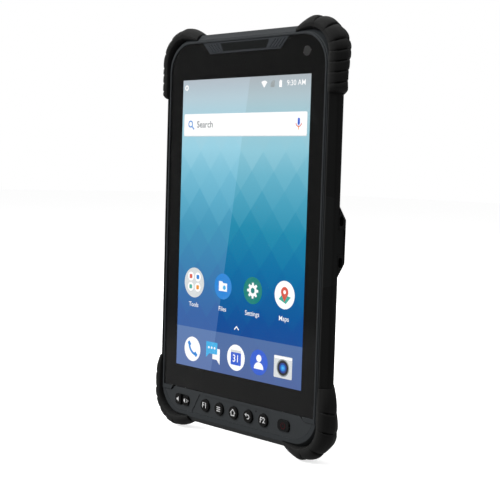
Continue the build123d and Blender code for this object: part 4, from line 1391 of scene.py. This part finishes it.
    def messages(self, x: float) -> None:
        """Two speech bubbles."""
        z = self.dock_row
        self.mark(Ink.SNOW, 1, [(x - 1.2, z - 3.6), (x + 2.6, z - 3.6), (x + 5.4, z - 6.3),
                                (x + 5.4, z + 3.0),
                                (x - 1.2, z + 3.0)])
        self.mark(Ink.SKY, 2, [(x - 7.0, z + 6.4), (x + 3.0, z + 6.4), (x + 3.0, z - 0.6), (x - 4.2, z - 0.6),
                               (x - 7.0, z - 3.2)])
        for index in range(3):
            self.mark(Ink.SNOW, 3, circle(x - 4.6 + index * 2.6, z + 3.0, 0.75, 14))

    def calendar(self, x: float) -> None:
        """White disc with a day sheet."""
        z = self.dock_row
        self.mark(Ink.WHITE, 1, circle(x, z, 7.6, 48))
        self.mark(Ink.SILVER, 2, box(x, z + 3.4, 9.0, 2.0, 0.3))
        self.mark(Ink.BLUE, 3, box(x, z - 0.7, 8.8, 7.4, 0.6))
        self.word(Ink.WHITE, "31", x, z - 0.7, 4.2)

    def contacts(self, x: float) -> None:
        """Blue disc with a plain figure."""
        z = self.dock_row
        self.mark(Ink.BLUE, 1, circle(x, z, 7.3, 48))
        self.mark(Ink.WHITE, 2, circle(x, z + 2.3, 2.1, 28))
        self.mark(Ink.WHITE, 2, [(x - 4.0, z - 3.9), (x + 4.0, z - 3.9), *arc(x, z - 3.9, 4.0, 25, 155, 16)])

    def camera(self, x: float) -> None:
        """Plate with a round lens."""
        z = self.dock_row
        self.mark(Ink.SILVER, 1, box(x, z, 14.4, 12.4, 0.6))
        self.mark(Ink.WHITE, 2, box(x, z + 5.2, 14.0, 1.4, 0.3))
        for layer, (ink, radius) in enumerate(((Ink.GREY, 5.0), (Ink.BLACK, 4.3), (Ink.NAVY, 2.9),
                                               (Ink.AZURE, 1.9), (Ink.SKY, 0.9))):
            self.mark(ink, 2 + layer, circle(x, z - 0.4, radius, 36))

    def chevron(self) -> None:
        """Small arrow that opens the list of programs."""
        self.mark(Ink.SNOW, 1, stroke([(-1.9, -59.0), (0.0, -57.2), (1.9, -59.0)], 0.7))

    def build(self) -> None:
        """Draws every mark and settles one piece for each colour."""
        self.status_bar()
        self.search_bar()
        self.chevron()
        for draw, x in ((self.tools_folder, -38.9), (self.files, -12.8), (self.settings, 12.8),
                        (self.maps, 38.7), (self.phone, -39.0), (self.messages, -19.3), (self.calendar, 0.2),
                        (self.contacts, 19.6), (self.camera, 39.2)):
            draw(x)
        middle = self.window.view_middle()
        base = GLASS.low.y + self.window.picture
        for ink in Ink:
            if ink not in self.marks and ink not in self.words:
                continue
            solid = Solid()
            for layer, loops in self.marks.get(ink, ()):
                front = base - self.step * layer
                moved = [[(x + middle[0], z + middle[1]) for x, z in loop] for loop in loops]
                solid.plate(moved, front, front + self.step * 0.5)
            for words, x, z, height in self.words.get(ink, ()):
                front = base - self.step * 5
                solid.text(words, x + middle[0], z + middle[1], height, front, front + self.step * 0.5)
            name = "picture_marks_" + ink.name.lower()
            settle(solid.shaded(name, LitMark("lit_" + ink.name.lower(), ink.value)))


# ---- keys ----


class Legend(Enum):
    """What is printed on a key."""

    F1 = "f1_key"
    MENU = "menu_key"
    HOME = "home_key"
    BACK = "back_key"
    F2 = "f2_key"
    QUIETER = "volume_down_key"
    LOUDER = "volume_up_key"
    POWER = "power_key"


@dataclass
class Key:
    """A glossy cap with a soft edge, its flange below the panel, and a printed legend."""

    legend: Legend
    radius: float
    flange: float = 0.7
    flange_thickness: float = 0.6
    dish: float = 0.12
    ink_thickness: float = 0.025
    line: float = 0.4
    legend_scale: float = 1.22
    letter_height: float = 3.2

    def __post_init__(self) -> None:
        """Reads the key's place from its CAD solid."""
        self.extent = Extent.of(self.legend.value)
        self.half_x = self.extent.size.x / 2 - self.flange
        self.half_z = self.extent.size.z / 2 - self.flange

    def cap(self, solid: Solid) -> None:
        """Adds the cap and its flange."""
        middle, front, back = self.extent.middle, self.extent.low.y, self.extent.high.y
        under = back - self.flange_thickness
        profile = [(self.flange, back), (self.flange, under), (0.02, under)]
        profile += soften([(0.0, under), (0.0, front), (-2.2, front)], (0.55,), 5)[1:-1]
        profile += [(-1.1, front + self.dish * 0.4), (-1.8, front + self.dish * 0.85),
                    (-2.4, front + self.dish)]
        rings = []
        for offset, y in profile:
            half_x, half_z = self.half_x + offset, self.half_z + offset
            radius = min(max(self.radius + offset, 0.3), half_x, half_z)
            ring = Outline(half_x, middle.z - half_z, middle.z + half_z, radius, 10).stations()
            rings.append([s.at(0.0, y) + Vector((middle.x, 0, 0)) for s in ring])
        solid.loft(rings)

    def strokes(self) -> list[list[Loop]]:
        """The legend's filled shapes about the key's middle."""
        w = self.line
        speaker = [(-0.9, -0.5), (-0.3, -0.5), (0.5, -1.25), (0.5, 1.25), (-0.3, 0.5), (-0.9, 0.5)]
        match self.legend:
            case Legend.MENU:
                return [[box(0, z, 2.5, w, 0.1)] for z in (-0.95, 0.0, 0.95)]
            case Legend.HOME:
                roof = [(-1.75, -0.1), (0.0, 1.6), (1.75, -0.1)]
                walls = [(-1.1, 0.15), (-1.1, -1.3), (1.1, -1.3), (1.1, 0.15)]
                return [[stroke(roof, w)], [stroke(walls, w)]]
            case Legend.BACK:
                turn = [(-1.0, 0.75), *arc(0.35, -0.15, 0.9, 90, -90, 10), (-0.2, -1.05)]
                return [[stroke(turn, w)], [[(-1.8, 0.75), (-0.7, 1.6), (-0.7, -0.1)]]]
            case Legend.QUIETER:
                return [[[(x - 0.1, z) for x, z in speaker]]]
            case Legend.LOUDER:
                waves = [[band(0.1, 0.0, reach, 0.32, -42, 42)] for reach in (1.1, 1.8)]
                return [[[(x - 0.7, z) for x, z in speaker]], *waves]
            case Legend.POWER:
                return [[band(0, -0.1, 1.35, w, 125, 415)], [box(0, 1.1, w, 1.6, 0.1)]]
        return []

    def build(self) -> None:
        """Builds and settles the cap and its legend."""
        node = self.legend.value
        solid = Solid()
        self.cap(solid)
        body = node + "_body"
        settle(solid.shaded(node + "_cap", KEY_PLASTIC, 40), body, [node])
        middle = self.extent.middle
        back = self.extent.low.y + self.dish + 0.02
        front = back - self.ink_thickness - self.dish * 0.6
        ink = Solid()
        for loops in self.strokes():
            ink.plate([[(x * self.legend_scale + middle.x, z * self.legend_scale + middle.z)
                        for x, z in loop] for loop in loops], front, back)
        if self.legend in (Legend.F1, Legend.F2):
            ink.text(self.legend.name, middle.x, middle.z, self.letter_height, front, back)
        colour = LEGEND_RED if self.legend is Legend.POWER else LEGEND_WHITE
        settle(ink.shaded(node + "_legend", colour), body)


# ---- floor, light, camera ----


@dataclass
class Studio:
    """Pale floor, soft lights, surroundings and the camera."""

    floor_reach: float = 6.0
    floor_colour: Colour = (0.93, 0.93, 0.93)
    azimuth: float = 47.14
    elevation: float = 3.85
    roll: float = 1.72
    distance: float = 0.6743
    aim: Colour = (0.001, 0.0, -0.00915)
    focal_length: float = 83.66
    sensor: float = 36.0

    def floor(self) -> None:
        """Adds the floor under the tablet."""
        solid = Solid()
        reach = self.floor_reach / MM
        corners = [(-reach, -reach), (reach, -reach), (reach, reach), (-reach, reach)]
        solid.loft([[Vector((x, y, z)) for x, y in corners] for z in (-20.0, 0.0)])
        made = solid.shaded("floor", Backdrop("floor_pale", self.floor_colour))
        made.visible_glossy = False
        made.visible_diffuse = False
        made.visible_transmission = False

    def lamp(self, name: str, azimuth: float, elevation: float, size: float, power: float,
             colour: Colour = (1.0, 1.0, 1.0)) -> None:
        """Adds a soft square lamp aimed at the tablet.

        Args:
            name: The lamp's name.
            azimuth: Degrees round the tablet; 0 in front of it, 90 on its right.
            elevation: Degrees above the floor.
            size: Side in metres.
            power: Watts.
            colour: Tint.
        """
        data = bpy.data.lights.new(name, "AREA")
        data.shape = "SQUARE"
        data.size = size
        data.energy = power
        data.color = colour
        lamp = bpy.data.objects.new(name, data)
        across, up = math.radians(azimuth), math.radians(elevation)
        away = Vector((math.sin(across) * math.cos(up), -math.cos(across) * math.cos(up), math.sin(up)))
        middle = (Vector(CAD_BOX[0]) + Vector(CAD_BOX[1])) / 2
        lamp.location = middle + away * 1.6
        lamp.rotation_euler = away.to_track_quat("Z", "Y").to_euler()
        lamp.visible_glossy = False
        bpy.context.scene.collection.objects.link(lamp)

    def surroundings(self) -> None:
        """Makes the sky: white to look at, and a shaded room for what it lights and what shines back."""
        world = bpy.data.worlds.new("room")
        world.use_nodes = True
        graph = Graph(world.node_tree)
        direction = graph.value("ShaderNodeTexCoord", "Generated")
        x, y, z = graph.axes(direction)
        table = (z * -1.0 - 0.125) * 40.0
        table = table.math("MINIMUM", 1.0).math("MAXIMUM", 0.0)
        overhead = ((z - 0.35) * 2.5).math("MINIMUM", 1.0).math("MAXIMUM", 0.0)
        left = ((x * -0.75 - y * 0.66) * 0.5 + 0.5).math("MAXIMUM", 0.0)
        room = 0.06 + left * left * 0.05 + overhead * 0.35 + table * 0.09
        shown = graph.value("ShaderNodeLightPath", "Is Camera Ray")
        level = room * (1 - shown) + shown
        backdrop = graph.add("ShaderNodeBackground", None, {"Color": (1.0, 1.0, 1.0, 1.0), "Strength": level})
        graph.add("ShaderNodeOutputWorld", None, {"Surface": backdrop.outputs[0]})
        bpy.context.scene.world = world

    def camera(self) -> None:
        """Adds the camera."""
        across, up = math.radians(self.azimuth), math.radians(self.elevation)
        away = Vector((math.sin(across) * math.cos(up), -math.cos(across) * math.cos(up), math.sin(up)))
        target = (Vector(CAD_BOX[0]) + Vector(CAD_BOX[1])) / 2 + Vector(self.aim)
        data = bpy.data.cameras.new("camera")
        data.lens = self.focal_length
        data.sensor_width = self.sensor
        data.clip_start = 0.01
        made = bpy.data.objects.new("camera", data)
        turn = away.to_track_quat("Z", "Y").to_matrix().to_4x4()
        made.matrix_world = Matrix.Translation(target + away * self.distance) @ turn @ Matrix.Rotation(
            math.radians(self.roll), 4, "Z")
        bpy.context.scene.collection.objects.link(made)
        bpy.context.scene.camera = made

    def build(self) -> None:
        """Sets the stage."""
        self.floor()
        self.lamp("key_lamp", -35, 32, 1.1, 30.0)
        self.lamp("top_lamp", 20, 80, 1.4, 1.5)
        self.lamp("left_lamp", -95, 18, 0.9, 24.0)
        self.lamp("back_lamp", 165, 35, 1.2, 5.0)
        self.surroundings()
        self.camera()
        bpy.context.scene.view_settings.view_transform = "Standard"


def dress_carried() -> None:
    """Gives each CAD solid that stays in view its finish."""
    for node, finish in CARRIED.items():
        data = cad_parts[node].data
        data.materials.clear()
        data.materials.append(finish.material())
        LOG.info("%s keeps its CAD shape", node)


def main() -> None:
    """Builds the stage and every piece."""
    logging.basicConfig(level=logging.INFO, format="%(message)s")
    Studio().build()
    dress_carried()
    FrontFrame().build()
    side_ribs = (44.6, 50.4, 55.9, 61.7)
    Bumper("bumper_top_right", 1, True, (16.2, 27.9, 38.5, *side_ribs)).build()
    Bumper("bumper_top_left", -1, True, (16.2, 26.7, 37.7, 47.7, 51.7, 56.7, 61.7)).build()
    Bumper("bumper_bottom_right", 1, False, (16.4, 27.4, 42.9, 54.0)).build()
    Bumper("bumper_bottom_left", -1, False, (12.5, 21.7, 30.6, 38.5, 46.0, 55.5)).build()
    window = Window()
    window.build()
    HomeScreen(window).build()
    for legend in Legend:
        Key(legend, {"volume": 1.2, "power_": 2.2}.get(legend.value[:6], 3.7)).build()


if __name__ == "__main__":
    main()
